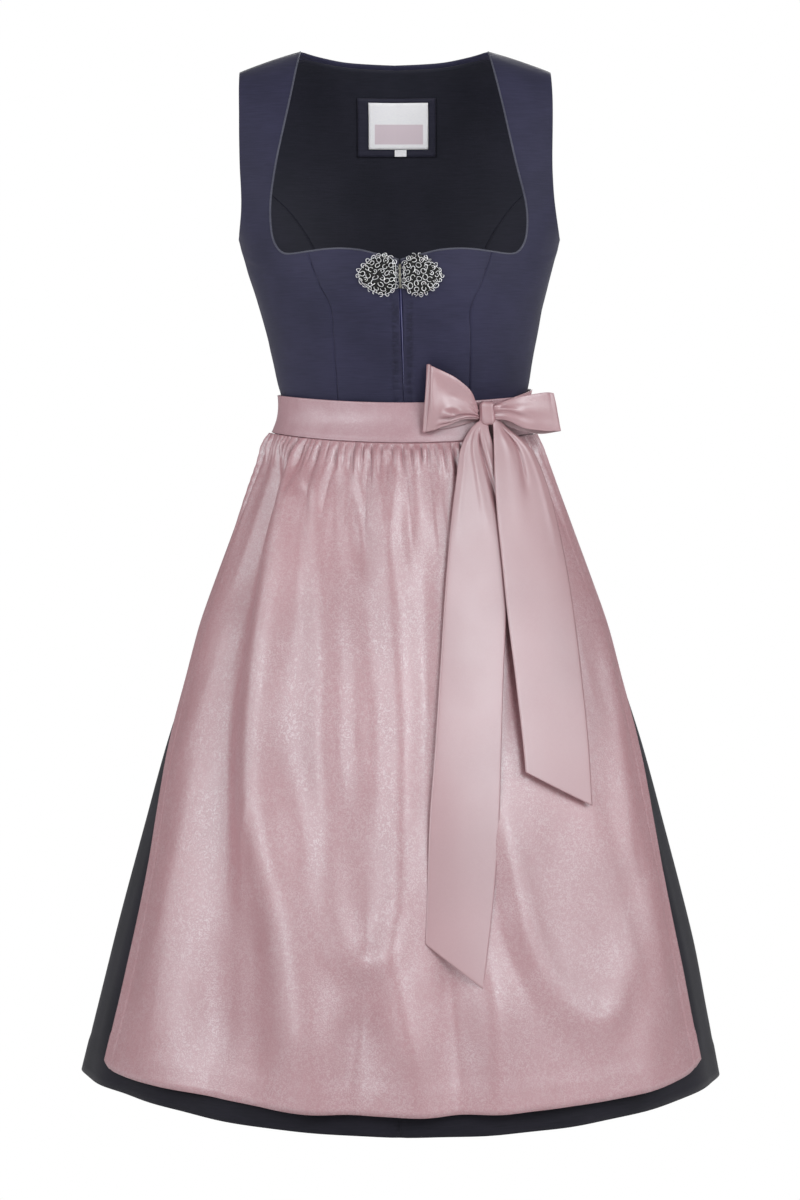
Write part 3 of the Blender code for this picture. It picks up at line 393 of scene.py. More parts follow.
def panel(first, last, columns, back=False, top=None):
    """Angles and drops between two edges; top gives the drop of the upper edge by distance."""
    share = row(0, 1, columns + 1)
    start, end = (angle_at(*edge.T, back=back)[:, None] for edge in (first, last))
    angle = start + (end - start) * share
    drop = first[:, 1:] + (last[:, 1:] - first[:, 1:]) * share
    if top:
        edge_x = np.abs(figure(angle[-1], drop[-1])[:, 0] - read(STANCE, 1, drop[-1]))
        height = column(0, 1, len(first))
        drop = drop + (top(edge_x) - drop[-1])[None, :] * height ** TOP_EDGE_REACH
    return angle, drop


def sewn_in(points, depth=0.0001, width=0.002, top=True):
    """How far a panel's edges sink into their seams."""
    across, down = distances(points, 1), distances(points, 0)
    sides = ridge(np.minimum(*across), width)
    edge = ridge(down[1], width * 0.6) if top else 0
    return -depth * np.maximum(sides, edge)


def side_seam(count):
    drops = np.linspace(WAIST_DROP, UNDERARM_DROP, count + 1)
    return np.stack((read(FIGURE, HALF_WIDTH, drops), drops), axis=-1)


def on_side(points, sign):
    """Points made for the wearer's left, which for a negative sign are mirrored about the stance."""
    if sign > 0:
        return points
    flipped = points[:, ::-1] * (-1, 1, 1)
    flipped[..., 0] += 2 * read(STANCE, 1, -flipped[..., 2])
    return flipped


def bodice_front(side, sign):
    centre, seam = along(CENTRE_OPENING, 18 * FINER), along(FRONT_SEAM, 18 * FINER)
    angle, drop = panel(centre, seam, 60, top=lambda x: read(FRONT_NECK, 1, x))
    flat = figure(angle, drop)
    from_opening, from_neck = distances(flat, 1)[0], distances(flat, 0)[1]
    turn = drop / 0.0085 + 0.35 * uneven(drop / 0.012, from_opening / 0.008, 5) + 0.3 * sign
    pucker = ridge(from_opening - 0.0065, 0.0048) * (np.abs(np.sin(math.pi * turn)) ** 0.6 - 1)
    pucker *= 0.7 + 0.3 * uneven(drop / 0.014, 2 * sign, 6)
    out = sewn_in(flat) + 0.0017 * pucker * ease(from_neck, 0.03, 0.045)
    out -= 0.0006 * ridge(from_opening - 0.008, 0.0016)
    out += 0.00055 * uneven(from_opening / 0.02 + 3 * sign, drop / 0.01, 11) * ease(from_opening, 0.01, 0.03)
    points = on_side(figure(angle, drop, out), sign)
    piece = cloth("bodice_front_" + side, points, FRONT)


def bodice_side_front(side, sign):
    inner = np.concatenate((along(FRONT_SEAM, 8 * FINER), along(NECK_TO_SHOULDER, 12 * FINER)[1:]))
    outer = np.concatenate((side_seam(11 * FINER), along(ARMHOLE_FRONT, 9 * FINER)[1:]))
    angle, drop = panel(inner, outer, 40)
    flat = figure(angle, drop)
    across = distances(flat, 1)[0]
    out = sewn_in(flat) + 0.0004 * uneven(across / 0.022 + 5 * sign, drop / 0.03, 13)
    out += 0.0008 * ridge(drop + 0.3 * across - 0.2167, 0.006) * ridge(across - 0.07, 0.02)
    points = on_side(figure(angle, drop, out), sign)
    piece = cloth("bodice_side_front_" + side, points, NAVY)


def back_seam():
    return along(BACK_SEAM, 12 * FINER)


def bodice_side_back(side, sign):
    outer = np.concatenate((side_seam(8 * FINER), along(ARMHOLE_BACK_LOW, 4 * FINER)[1:]))
    angle, drop = panel(outer, back_seam(), 34, back=True)
    flat = figure(angle, drop)
    ripple = 0.0004 * uneven(distances(flat, 1)[0] / 0.02, drop / 0.018 + 3 * sign, 17)
    points = on_side(figure(angle, drop, sewn_in(flat) + ripple), sign)
    inside = on_side(figure(angle, drop, -LINING_INSET - 0.0002)[:-FINER], sign)
    piece = cloth("bodice_side_back_" + side, points, NAVY)
    lining = cloth("lining_side_back_" + side, inside, LINING)
    for piece in (piece, lining):
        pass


def back_top(x):
    """Drop of the back's upper edge: its neck, then the shoulder."""
    return np.where(x < NECK_POINT, read(BACK_NECK, 1, x), SHOULDER_SLOPE * x - SHOULDER_RISE)


def bodice_back():
    left = np.concatenate((back_seam(), along(ARMHOLE_BACK_HIGH, 6 * FINER)[1:]))
    angle, drop = panel(left, left * (-1, 1), 90, back=True, top=back_top)
    flat = figure(angle, drop)
    out = sewn_in(flat) + 0.0005 * uneven(angle / 9, drop / 0.03, 19)
    piece = cloth("bodice_back", figure(angle, drop, out), NAVY)
    inside = figure(angle, drop, -LINING_INSET + 0.0003 * uneven(angle / 7, drop / 0.05, 23))[3:-2]
    lining = cloth("lining_back", inside, LINING)


def front_underlap():
    drop = column(0.2075, 0.35, 100)
    x = row(-0.011, 0.011, 60)
    out = -0.0024 + 0.0014 * ridge(x - 0.0004, 0.0009) + 0.0002 * uneven(x / 0.004, drop / 0.02, 27)
    points = figure(angle_at(x, drop), drop, out)
    piece = cloth("front_underlap", points, BLUE_SATIN)


def on_lining(middle, half_width, top, bottom, height):
    """A flat patch on the inside of the back, facing forwards."""
    drop = column(bottom, top, 20)
    x = middle + row(-half_width, half_width, 30)
    return figure(angle_at(x, drop, back=True), drop, -LINING_INSET - height)


def labels():
    rows = zip(LABEL_PIECES, (PATCH, LABEL, TAB))
    patch, label, tab = (cloth(name, on_lining(*place), finish) for (name, *place), finish in rows)


def neck_piping():
    """A thin covered cord along the neck edge of each front."""
    for side, sign in SIDES:
        x = np.linspace(0.001, 0.086, 70)
        front = np.stack((x, read(FRONT_NECK, 1, x)), axis=-1)
        edge = np.concatenate((front, along(NECK_TO_SHOULDER, 110)[1:]))
        path = figure(sign * angle_at(*edge.T), edge[:, 1], 0.0002)
        worn(add_mesh("neck_piping_" + side, *tube(path, 0.0009), PIPING_PAINTED_LIGHTER))


# Skirt and apron


def skirt_fold(angle, drop):
    """Soft folds that open towards the hem, deep at the back and slight in front."""
    behind = ease(np.abs((angle + 180) % 360 - 180), 80, 120)
    turn = np.radians(angle)
    wave = np.cos(22 * turn + 0.9 * np.sin(3 * turn)) * (0.72 + 0.28 * np.sin(5 * turn))
    deeper = 0.25 * np.cos(44 * turn + 2 * np.sin(4 * turn) + 1) * behind
    return (0.0012 + 0.0052 * behind) * (wave + deeper) * ease(drop, 0.37, 0.75)


def skirt_grid(first, last, columns, rows):
    angle = row(first, last, columns + 1)
    level = np.linspace(SKIRT_TOP, SKIRT_BOTTOM, rows + 1)[::-1, None]
    share = (level - WAIST_DROP) / (SKIRT_BOTTOM - WAIST_DROP)
    return np.broadcast_arrays(angle, level + (read(SKIRT_HEM, 1, angle) - SKIRT_BOTTOM) * share ** 2)


def hemmed(below, depth):
    """A turned-up hem: a step where the doubled part ends, and its row of stitches."""
    return 0.0006 * ease(below, depth + 0.0015, depth - 0.001) - 0.0005 * ridge(below - depth, 0.0011)


def skirt_front():
    for name, first in (("skirt_front_right", -90), ("skirt_front_left", 0)):
        angle, drop = skirt_grid(first, first + 90, 70, 90)
        flat = figure(angle, drop)
        covered = ease(drop, 0.367, 0.405) * ease(drop, 0.972, 0.93) * ease(np.abs(angle), 74, 60)
        out = skirt_fold(angle, drop) - 0.011 * covered + sewn_in(flat, 0.0008, 0.0025, top=False)
        out += hemmed(distances(flat, 0)[0], SKIRT_HEM_DEPTH)
        piece = cloth(name, figure(angle, drop, out), SKIRT)


def skirt_back():
    angle, drop = skirt_grid(90, 270, 300, 120)
    flat = figure(angle, drop)
    place = (angle - 90) / 180
    ends = ease(place, 0, 0.05) * ease(1 - place, 0, 0.05)
    out = 0.0014 * gathers(place, drop - SKIRT_TOP, 44, 41) * ends
    out += skirt_fold(angle, drop) + 0.001 * uneven(angle / 7, drop / 0.09, 43) * ends
    out += hemmed(distances(flat, 0)[0], SKIRT_HEM_DEPTH) + sewn_in(flat, 0.0008, 0.0025, top=False)
    under_tie = ease(drop - read(TIE_ROUND_BACK[::-1], 2, angle - 360), 0.006, 0.0005)
    out -= under_tie * np.maximum(out - 0.001, 0)
    piece = cloth("skirt_back", figure(angle, drop, out), SKIRT)


def band_drops(angle):
    """Drops of the apron band's upper and lower edge, which dip in the middle."""
    dip = np.cos(np.radians(angle)) ** 2
    return 0.33 + 0.006 * dip, 0.366 + 0.0078 * dip


def apron_band():
    angle = row(-88, 79, 221)
    height = column(0, 1, 27)
    top, bottom = band_drops(angle)
    drop = bottom + (top - bottom) * height
    out = 0.0046 - 0.0012 * height + 0.0004 * uneven(angle / 5, height * 2.2, 51)
    out += 0.0005 * ridge(height - 0.5, 0.6) - 0.0004 * ridge((drop - bottom + 0.0022) / 0.0008, 1)
    piece = cloth("apron_band", figure(angle, drop, out), SATIN_BAND)


def fold(x, drop, first_width, last_width, height, *line):
    """A soft ridge or trough that follows a line, all in millimetres."""
    line = np.reshape(line, (-1, 2))
    path = along(line, 6 * (len(line) - 1))
    steps = np.linalg.norm(np.diff(path, axis=0), axis=1)
    length = steps.sum()
    run = np.r_[0, np.cumsum(steps)] / length
    nearest, place = np.full(x.shape, 1e9), np.zeros(x.shape)
    for here, step, start, part in zip(path, np.diff(path, axis=0), run, np.diff(run)):
        aside, below = x - here[0], drop - here[1]
        share = np.clip((aside * step[0] + below * step[1]) / (step ** 2).sum(), 0, 1)
        away = np.hypot(aside - share * step[0], below - share * step[1])
        closer = away < nearest
        nearest, place = np.where(closer, away, nearest), np.where(closer, start + share * part, place)
    fade = min(0.4, 78 / length)
    ends = ease(place, 0, fade) * ease(1 - place, 0, fade)
    ends *= 1 + 0.22 * uneven(x / 60, drop / 90, 131)
    return height * ends * ridge(nearest, first_width + (last_width - first_width) * place)


def puckers(run, pitch, patch, line, seed):
    """Small puckers along a row of stitches, stronger in some patches than in others."""
    wave = np.sin(run / pitch * math.tau + 3 * uneven(run / 0.03, 0, seed))
    return 0.0003 * wave * (0.5 + 0.5 * uneven(run / patch, line, seed + 1))


def apron_panel():
    share = np.linspace(0, 1, 171)[::-1, None]
    share = share * (0.3 + 0.7 * share)
    level = APRON_TOP + APRON_LENGTH * share
    place = row(0, 1, 341)
    start, end = read(APRON_SIDES, 1, level), read(APRON_SIDES, 2, level)
    angle = start + (end - start) * place
    first = band_drops(angle)[1] + 0.0003
    drop = first + (read(APRON_HEM, 1, angle) - first) * share
    at_side = np.minimum(angle - start, end - angle)
    base = 0.0054 + 0.0042 * ease(drop, 0.372, 0.46) * (0.1 + 0.9 * ease(at_side, 0, 12))
    base += 0.004 * ease(drop, 0.55, 0.85) * ease(at_side, 4, 24)
    flat = figure(angle, drop, base)
    across, from_hem = distances(flat, 1), distances(flat, 0)[0]
    from_side = np.minimum(*across)
    out = base + 0.0023 * gathers(place, drop - first, 45, 31) * ease(from_side, -0.004, 0.012)
    # Folds, with softer unevenness between them
    x = flat[..., 0] / MM + 2.2 * uneven(drop / 0.08, angle / 12, 133)
    level = drop / MM + 6 * uneven(drop / 0.09, angle / 9, 135)
    strength = ease(from_side, 0, 0.03) * ease(drop, 0.366, 0.425) * (1 - 0.35 * ease(drop, 0.9, 0.97))
    out += MM * sum(fold(x, level, *row) for row in APRON_FOLDS) * strength
    soft = ease(drop, 0.42, 0.55) * ease(from_side, 0, 0.03)
    out += 0.0008 * uneven(angle / 6, drop / 0.08, 33) * soft
    out += 0.00013 * uneven(angle / 2.2, drop / 0.03, 35) * ease(drop, 0.37, 0.4)
    # Nothing sinks into the skirt, which lies further back under the middle of the apron
    room = ease(drop, 0.378, 0.425) * ease(drop, 0.955, 0.915) * ease(np.abs(angle), 66, 56)
    over = out - (0.0014 - 0.0098 * room)
    out += 0.5 * (np.sqrt(over * over + 0.003 ** 2) - over)
    side_puckers = puckers(drop, 0.011, 0.05, 5, 37) * ridge(from_side - 0.015, 0.01)
    hem_puckers = puckers(across[0], 0.0095, 0.06, 7, 39) * ridge(from_hem - 0.026, 0.014)
    out += hemmed(from_side, APRON_SIDE_DEPTH) + side_puckers
    out += hemmed(from_hem, APRON_HEM_DEPTH) + hem_puckers
    piece = cloth("apron_panel", figure(angle, drop, out), SATIN)


def tie_round_back():
    angle, top, bottom, out = along(TIE_ROUND_BACK, 300).T[..., None]
    height = row(0, 1, 17)
    drop = bottom + (top - bottom) * height
    out = out + 0.0007 * uneven(angle / 6, height * 3, 71) * (1 - 0.6 * ridge(angle + 280, 30))
    piece = cloth("tie_round_back", figure(angle, drop, out), SATIN_TIE)


# Bow


def pushed(points, height):
    """Moves each point of a grid along the surface's own normal, forwards where the height is positive."""
    normal = np.cross(np.gradient(points, axis=1), np.gradient(points, axis=0))
    normal /= np.maximum(np.linalg.norm(normal, axis=2, keepdims=True), 1e-9)
    return points + normal * height[..., None]


def standing(points):
    """Points moved to the side as the figure stands."""
    return points + read(STANCE, 1, -points[..., 2])[..., None] * (1, 0, 0)


def loop_grid(table, rows, columns):
    """Points of a loop, with how far each lies along the loop and across it."""
    stations = along(table, rows)
    share = np.linspace(0, 1, columns + 1)[None, :, None]
    upper, lower = stations[:, None, [0, 2, 1]], stations[:, None, [3, 5, 4]]
    points = (upper + (lower - upper) * share) * (1, 1, -1)
    points[..., 1] -= 4 * share[..., 0] * (1 - share[..., 0]) * stations[:, 6:7]
    return standing(points), column(0, 1, rows + 1), share[..., 0]


def spot(length, across, place, size):
    """1 at a place of a loop, falling softly to 0 around it."""
    return ridge((length - place[0]) / size[0], 1) * ridge((across - place[1]) / size[1], 1)


def bow_loop_left():
    points, length, across = loop_grid(LOOP_LEFT, 170, 60)
    front = ease(length, 0.52, 0.46)
    height = 0.001 * ridge(length - 0.43, 0.04) - 0.0014 * ridge(length - 0.375 + 0.08 * across, 0.03)
    height += 0.0026 * spot(length, across, (0.2, 0.36), (0.09, 0.2))
    height -= 0.007 * spot(length, across, (0.205, 0.73), (0.038, 0.075))
    height -= 0.0035 * ridge(across, 0.16) * ease(length, 0.04, 0.16) * ease(length, 0.42, 0.3)
    for middle, width, depth in ((0.83, 0.035, 0.0018), (0.9, 0.022, -0.0018), (0.96, 0.024, 0.001)):
        line = middle - 0.22 * (middle - 0.55) * ease(length, 0.16, 0)
        height += depth * ridge(across - line, width) * ease(length, 0.34, 0.16)
    for middle, lean, depth in ((0.3, 0.25, -0.0009), (0.52, 0.1, 0.0007), (0.66, -0.05, -0.0008)):
        height += depth * ridge(across - middle - lean * length, 0.045) * ease(length, 0.13, 0.03)
    height = height * front + 0.0006 * uneven(length * 14, across * 3, 91) * (1 - ridge(length, 0.1))
    piece = cloth("bow_loop_left", pushed(points, height), SATIN_TIE)


def bow_loop_right():
    points, length, across = loop_grid(LOOP_RIGHT, 170, 54)
    front = ease(length, 0.52, 0.46)
    line = 0.36 + 0.2 * ease(length, 0, 0.34)
    height = -0.0014 * ridge(across - line, 0.08) * ease(length, 0.3, 0.16)
    height += 0.002 * spot(length, across, (0.22, 0.66), (0.14, 0.18))
    height += 0.0009 * spot(length, across, (0.22, 0.2), (0.12, 0.12))
    height -= 0.004 * spot(length, across, (0.042, 0.2), (0.026, 0.13))
    for middle, lean, depth in ((0.6, 0.6, 0.0004), (0.78, 0.3, -0.0005)):
        height += depth * ridge(across - middle - lean * length, 0.045) * ease(length, 0.2, 0.04)
    height += 0.0006 * ridge(length - 0.44, 0.03)
    height = height * front + 0.0005 * uneven(length * 13, across * 3, 93) * (1 - ridge(length, 0.1))
    piece = cloth("bow_loop_right", pushed(points, -height), SATIN_TIE)


def bow_knot():
    """The short wrapped stretch that holds the bow: a sleeve of cloth with soft pleats down its front."""
    height = column(-1, 1, 60)
    turn = row(0, math.tau, 121)
    swell = (1 - 0.42 * np.abs(height) ** 6) * (1 - 0.1 * (1 - height * height))
    pleat = 0.0003 * np.cos(turn * 7 + 1 + 0.7 * height) * ease(-np.sin(turn), 0.1, 0.8)
    across, ahead = np.cos(turn), np.sin(turn)
    x = (0.008 * swell + pleat) * np.sign(across) * np.abs(across) ** 0.6
    y = (0.0068 * swell + pleat) * np.sign(ahead) * np.abs(ahead) ** 0.8
    z = 0.0108 * height + 0.0006 * uneven(turn * 2, 0, 95) * height
    points = standing(np.stack(np.broadcast_arrays(x, y, z), axis=-1) + KNOT_PLACE)
    piece = cloth("bow_knot", points, SATIN_TIE, thickness=0.001)


def tail(name, table, pleats, seed):
    """A hanging end of the tie, with pleats that run down from the knot."""
    first_x, first_drop, last_x, last_drop, out = along(table, 190).T[..., None]
    share = row(0, 1, 49)
    x = first_x + (last_x - first_x) * share
    drop = first_drop + (last_drop - first_drop) * share
    for start, end, width, depth, last in pleats:
        down = np.clip((drop - 0.36) / (last - 0.36), 0, 1)
        path = start + (end - start) * down + 0.02 * uneven(drop / 0.04, 0, seed)
        fade = ease(drop, 0.358, 0.374) * ease(down, 1, 0.55)
        out = out + depth * fade * ridge(share - path, width * (0.6 + 0.4 * down))
    out += 0.0006 * uneven(share * 2.2, drop / 0.08, seed + 1) * ease(drop, 0.38, 0.46)
    out -= 0.0003 * ridge(np.minimum(share, 1 - share) * (last_x - first_x), 0.0012)
    points = figure(angle_at(x, drop, out), drop, out)
    piece = cloth(name, points, SATIN_TIE)


# Clasp


def on_dome(x, drop, side, above=0):
    """A point over the domed clasp half, at a height above its surface."""
    rim = (CLASP_RIM - CLASP_CENTRE).T
    aside, below = x - CLASP_CENTRE[0], drop - CLASP_CENTRE[1]
    edge = np.interp(np.arctan2(below, aside), np.arctan2(rim[1], rim[0]), np.hypot(*rim), period=math.tau)
    share = np.minimum(1, np.hypot(aside, below) / edge)
    rise = 0.0026 + 0.0035 * (1 - share ** 2) + above
    return figure(side * angle_at(x, drop), drop, rise)


def rim_line(scale, count):
    """The clasp's rim, drawn in towards its centre."""
    ring = np.concatenate((CLASP_RIM, CLASP_RIM[:1]))
    return CLASP_CENTRE + (along(ring, count)[:-1] - CLASP_CENTRE) * scale


def curl(middle, radius, side, chance):
    """A small open loop of wire, squashed and leaning."""
    turn = np.linspace(0, chance.uniform(3.8, 6.3), 18)
    stretch, lean = chance.uniform(0.72, 1.25), chance.uniform(0, math.tau)
    across, down = radius * stretch * np.cos(turn), radius / stretch * np.sin(turn)
    x = middle[0] + across * math.cos(lean) - down * math.sin(lean)
    drop = middle[1] + across * math.sin(lean) + down * math.cos(lean)
    above = 0.0008 + 0.0005 * np.sin(turn + chance.uniform(0, math.tau))
    return tube(on_dome(x, drop, side, above), chance.uniform(0.00027, 0.00038), 6)


def clasp_half(name, side, seed):
    """A dark plate under rings of curled wire, with a few beads between the curls."""
    chance = np.random.default_rng(seed)
    rings = [on_dome(*rim_line(scale, 60).T, side, -0.0008) for scale in PLATE_RINGS]
    plate = add_mesh(name + "_plate", np.concatenate(rings), ring_faces(len(rings), 60), DARK_METAL)
    solidify = plate.modifiers.new("metal", "SOLIDIFY")
    solidify.thickness = 0.001
    worn(plate, name)
    parts = [tube(on_dome(*rim_line(0.93, 160).T, side), 0.0003, 6, True)]
    for scale, count, radius in CURL_RINGS:
        line = rim_line(scale, 360)
        run = np.r_[0, np.cumsum(np.linalg.norm(np.diff(line, axis=0), axis=1))]
        place = (np.arange(count) + 0.5 * chance.uniform()) / count * run[-1]
        for middle in np.stack([np.interp(place, run, column) for column in line.T], axis=-1):
            middle = middle + chance.uniform(-0.0004, 0.0004, 2)
            parts.append(curl(middle, radius * chance.uniform(0.85, 1.15), side, chance))
            if chance.uniform() < 0.2:
                parts.append(ball(on_dome(*middle, side, 0.0008), chance.uniform(0.0004, 0.0007)))
    worn(add_mesh(name + "_wires", *joined(parts), SILVER))


def ball(middle, radius):
    """A small bead."""
    turn = np.linspace(0, math.tau, 9)[:-1]
    up = column(-1.45, 1.45, 6)
    shape = np.broadcast_arrays(np.cos(up) * np.cos(turn), np.cos(up) * np.sin(turn), np.sin(up))
    return middle + radius * np.stack(shape, axis=-1).reshape(-1, 3), ring_faces(6, 8)


def clasp_hook():
    """The bar that joins the two halves, with a bead at each end."""
    drop = np.linspace(0.2085, 0.228, 24)
    path = figure(0, drop, 0.0042 + 0.0006 * np.cos((drop - 0.218) / 0.01))
    parts = [tube(path, 0.0012, 12)]
    for drop, radius in ((0.2285, 0.0017), (0.2083, 0.0015)):
        parts.append(ball(figure(0, drop, 0.0046), radius))
    worn(add_mesh("clasp_hook_bar", *joined(parts), HOOK_METAL), "clasp_hook")


# Finishes


class Value:
    """A number or colour worked out by shader nodes; numbers can be used in sums."""

    def __init__(self, finish, socket):
        self.finish, self.socket = finish, socket

    def maths(self, operation, *values):
        return self.finish.node("Math", {"operation": operation}, dict(enumerate(values)), 0)

    def __add__(self, other):
        return self.maths("ADD", self, other)

    def __sub__(self, other):
        return self.maths("SUBTRACT", self, other)

    def __rsub__(self, other):
        return self.maths("SUBTRACT", other, self)

    def __mul__(self, other):
        return self.maths("MULTIPLY", self, other)

    __radd__, __rmul__ = __add__, __mul__

    def between(self, start, end):
        """0 at the start and 1 at the end, with a smooth run between them."""
        settings = {"interpolation_type": "SMOOTHSTEP"}
        return self.finish.node("MapRange", settings, {0: self, 1: start, 2: end, 3: 0, 4: 1}, 0)

    def within(self, first, start, end, last):
        """1 from the start to the end, and 0 before the first and after the last."""
        return self.between(first, start) * self.between(last, end)


class Finish:
    """A material built from nodes; its colours are given as three numbers."""

    def __init__(self, name, **constants):
        self.material = bpy.data.materials.new(name)
        self.material.use_nodes = True
        self.tree = self.material.node_tree
        self.shader = self.tree.nodes["Principled BSDF"]
        for socket, value in constants.items():
            self.shader.inputs[socket.replace("_", " ")].default_value = value

    def node(self, kind, settings, values, output):
        made = self.tree.nodes.new("ShaderNode" + kind)
        for name, value in settings.items():
            setattr(made, name, value)
        for name, value in values.items():
            if isinstance(value, Value):
                self.tree.links.new(value.socket, made.inputs[name])
            elif made.inputs[name].type == "RGBA":
                made.inputs[name].default_value = (*value, 1)
            else:
                made.inputs[name].default_value = value
        return Value(self, made.outputs[output])

    def place(self, stretch=(1, 1, 1)):
        """The place on the object in metres, multiplied in each direction."""
        here = self.node("TexCoord", {}, {}, "Object")
        return self.node("VectorMath", {"operation": "MULTIPLY"}, {0: here, 1: stretch}, 0)

    def noise(self, scale, detail=2, distortion=0, stretch=(1, 1, 1)):
        values = {"Vector": self.place(stretch), "Scale": scale, "Detail": detail, "Distortion": distortion}
        return self.node("TexNoise", {}, values, 0)

    def axis(self, vector, number):
        return self.node("SeparateXYZ", {}, {0: vector}, number)

    def mix(self, share, first, last):
        return self.node("Mix", {"data_type": "RGBA"}, {0: share, 6: first, 7: last}, 2)

    def feed(self, socket, value):
        self.tree.links.new(value.socket, self.shader.inputs[socket])

    def bump(self, height, distance):
        self.feed("Normal", self.node("Bump", {}, {"Distance": distance, "Height": height}, 0))


def navy_finish(name, dark, light, shine=0.3, paints_pleat_shade=False):
    """Dull cloth with a slight horizontal slub and, if asked, painted shade between the small pleats beside the
    opening.
    """
    finish = Finish(name, Roughness=0.66, Sheen_Weight=0.1, Sheen_Roughness=0.5, Specular_IOR_Level=shine)
    slub = finish.noise(1, 3, 0, (60, 60, 900))
    patch = finish.noise(22, 3)
    colour = finish.mix((slub * 0.6 + patch * 0.7 - 0.15).between(0.2, 0.8), dark, light)
    if paints_pleat_shade:
        x, z = (finish.axis(finish.place(), number) for number in (0, 2))
        beside = x.maths("ABSOLUTE", x - 0.0022).within(0.0025, 0.005, 0.008, 0.0115)
        below = z.within(-0.35, -0.3, -0.246, -0.238)
        # Painted shade: a near-black navy in a band each side of the opening stands for the shadows that fall
        # between the small pleats there.
        pleat_shade_pattern = finish.noise(1, 2, 0.6, (160, 160, 330)).between(0.3, 0.6)
        colour = finish.mix(0.55 * beside * below * pleat_shade_pattern, colour, (0.004, 0.004, 0.017))
    finish.feed("Base Color", colour)
    finish.bump(slub + finish.noise(1, 1, 0, (1500, 1500, 700)) * 0.5, 0.0001)
    return finish.material


def satin_finish(name, colour, light, figured, shine):
    """Shot satin with a small curling figure woven in, its shine changing from spot to spot."""
    finish = Finish(name, IOR=shine, Specular_IOR_Level=0.5, Specular_Tint=(0.82, 0.97, 1, 1))
    curl = finish.noise(400, 2, 1.8).between(0.44, 0.6)
    patch = finish.noise(30, 2, 0.6).between(0.3, 0.7)
    share = curl * (0.5 + 0.5 * patch)
    broad = finish.noise(7, 2).between(0.3, 0.7)
    ground = finish.mix(broad, tuple(0.9 * part for part in colour), colour)
    ground = finish.mix(0.36 * share * figured, ground, light)
    finish.feed("Base Color", ground)
    finish.feed("Roughness", 0.455 - share * (0.08 * figured) + patch * 0.03)
    finish.bump(curl * (0.5 * figured) + finish.noise(1400, 1) * 0.4, 0.00012)
    return finish.material


def silk_finish(name):
    finish = Finish(name, Roughness=0.3, IOR=2.6, Specular_Tint=(0.75, 0.75, 1, 1))
    thread = finish.noise(1, 2, 0, (900, 900, 90))
    finish.feed("Base Color", finish.mix(thread, (0.022, 0.022, 0.085), (0.07, 0.07, 0.21)))
    finish.bump(thread, 0.0001)
    return finish.material


def label_finish(name, field=False):
    """White woven label, with a pale pink field low in it if that is asked for."""
    finish = Finish(name, Roughness=0.7)
    thread = finish.noise(1, 1, 0, (400, 400, 2600))
    colour = finish.mix(thread.between(0.3, 0.7), (0.93, 0.93, 0.97), (0.98, 0.98, 1))
    if field:
        spot = finish.node("UVMap", {"uv_map": "metres"}, {}, 0)
        wide = finish.axis(spot, 0).within(0.0055, 0.0065, 0.0535, 0.0545)
        high = finish.axis(spot, 1).within(0.0045, 0.0055, 0.024, 0.025)
        colour = finish.mix(wide * high, colour, (0.74, 0.63, 0.69))
    finish.feed("Base Color", colour)
    finish.bump(thread, 0.00008)
    return finish.material


def metal_finish(name, dark, light, metallic, rough):
    finish = Finish(name, Metallic=metallic)
    wear = finish.noise(420, 3).between(0.35, 0.7)
    finish.feed("Base Color", finish.mix(wear, dark, light))
    finish.feed("Roughness", rough + (1 - wear) * 0.16)
    finish.bump(wear, 0.00006)
    return finish.material


NAVY_DYES = (0.0135, 0.0135, 0.038), (0.024, 0.023, 0.059)
NAVY = navy_finish("navy cloth with a slub", *NAVY_DYES)
# The fronts' navy carries painted shade between the pleats beside the opening.
FRONT = navy_finish("navy cloth with painted pleat shade", *NAVY_DYES, paints_pleat_shade=True)
# The piping is a real cord, but its navy is painted lighter than the cloth's as a painted highlight along the
# neck edge.
PIPING_PAINTED_LIGHTER = navy_finish("navy piping painted lighter", (0.05, 0.052, 0.08), (0.09, 0.093, 0.125))
SKIRT = navy_finish("navy skirt cloth", (0.007, 0.007, 0.012), (0.013, 0.012, 0.02), 0.15)
LINING = navy_finish("dark lining cloth", (0.01, 0.011, 0.02), (0.017, 0.017, 0.03), 0.2)
PATCH = navy_finish("dark label patch", (0.012, 0.012, 0.028), (0.024, 0.024, 0.046))
BLUE_SATIN = silk_finish("blue satin")
SATIN = satin_finish("dusty pink figured satin", (0.43, 0.188, 0.211), (0.6, 0.46, 0.5), 1, 2.5)
SATIN_BAND = satin_finish("dusty pink satin of the band", (0.44, 0.23, 0.262), (0.58, 0.44, 0.48), 0.5, 2.2)
SATIN_TIE = satin_finish("plain pink satin of the ties", (0.43, 0.222, 0.243), (0.58, 0.44, 0.48), 0.12, 2.35)
LABEL = label_finish("white woven label", field=True)
TAB = label_finish("white size tab")
SILVER = metal_finish("old silver", (0.8, 0.81, 0.84), (1, 1, 1), 1, 0.34)
DARK_METAL = metal_finish("dark recess of the clasp", (0.002, 0.002, 0.002), (0.006, 0.006, 0.006), 0, 0.7)
HOOK_METAL = metal_finish("dark silver hook", (0.08, 0.08, 0.065), (0.24, 0.235, 0.2), 1, 0.34)
# Slot and thickness of each cloth
CLOTHS = {
    NAVY: ("navy_cloth", 0.0012), FRONT: ("navy_cloth", 0.0012), SKIRT: ("navy_skirt", 0.0013),
    LINING: ("dark_lining", 0.0008), PATCH: ("dark_lining", 0.0007), BLUE_SATIN: ("blue_satin", 0.0008),
    SATIN: ("pink_satin", 0.0011), SATIN_BAND: ("pink_satin", 0.0015), SATIN_TIE: ("pink_satin", 0.0011),
    LABEL: ("white_label", 0.0007), TAB: ("white_label", 0.0007),
}


# Room, light and camera


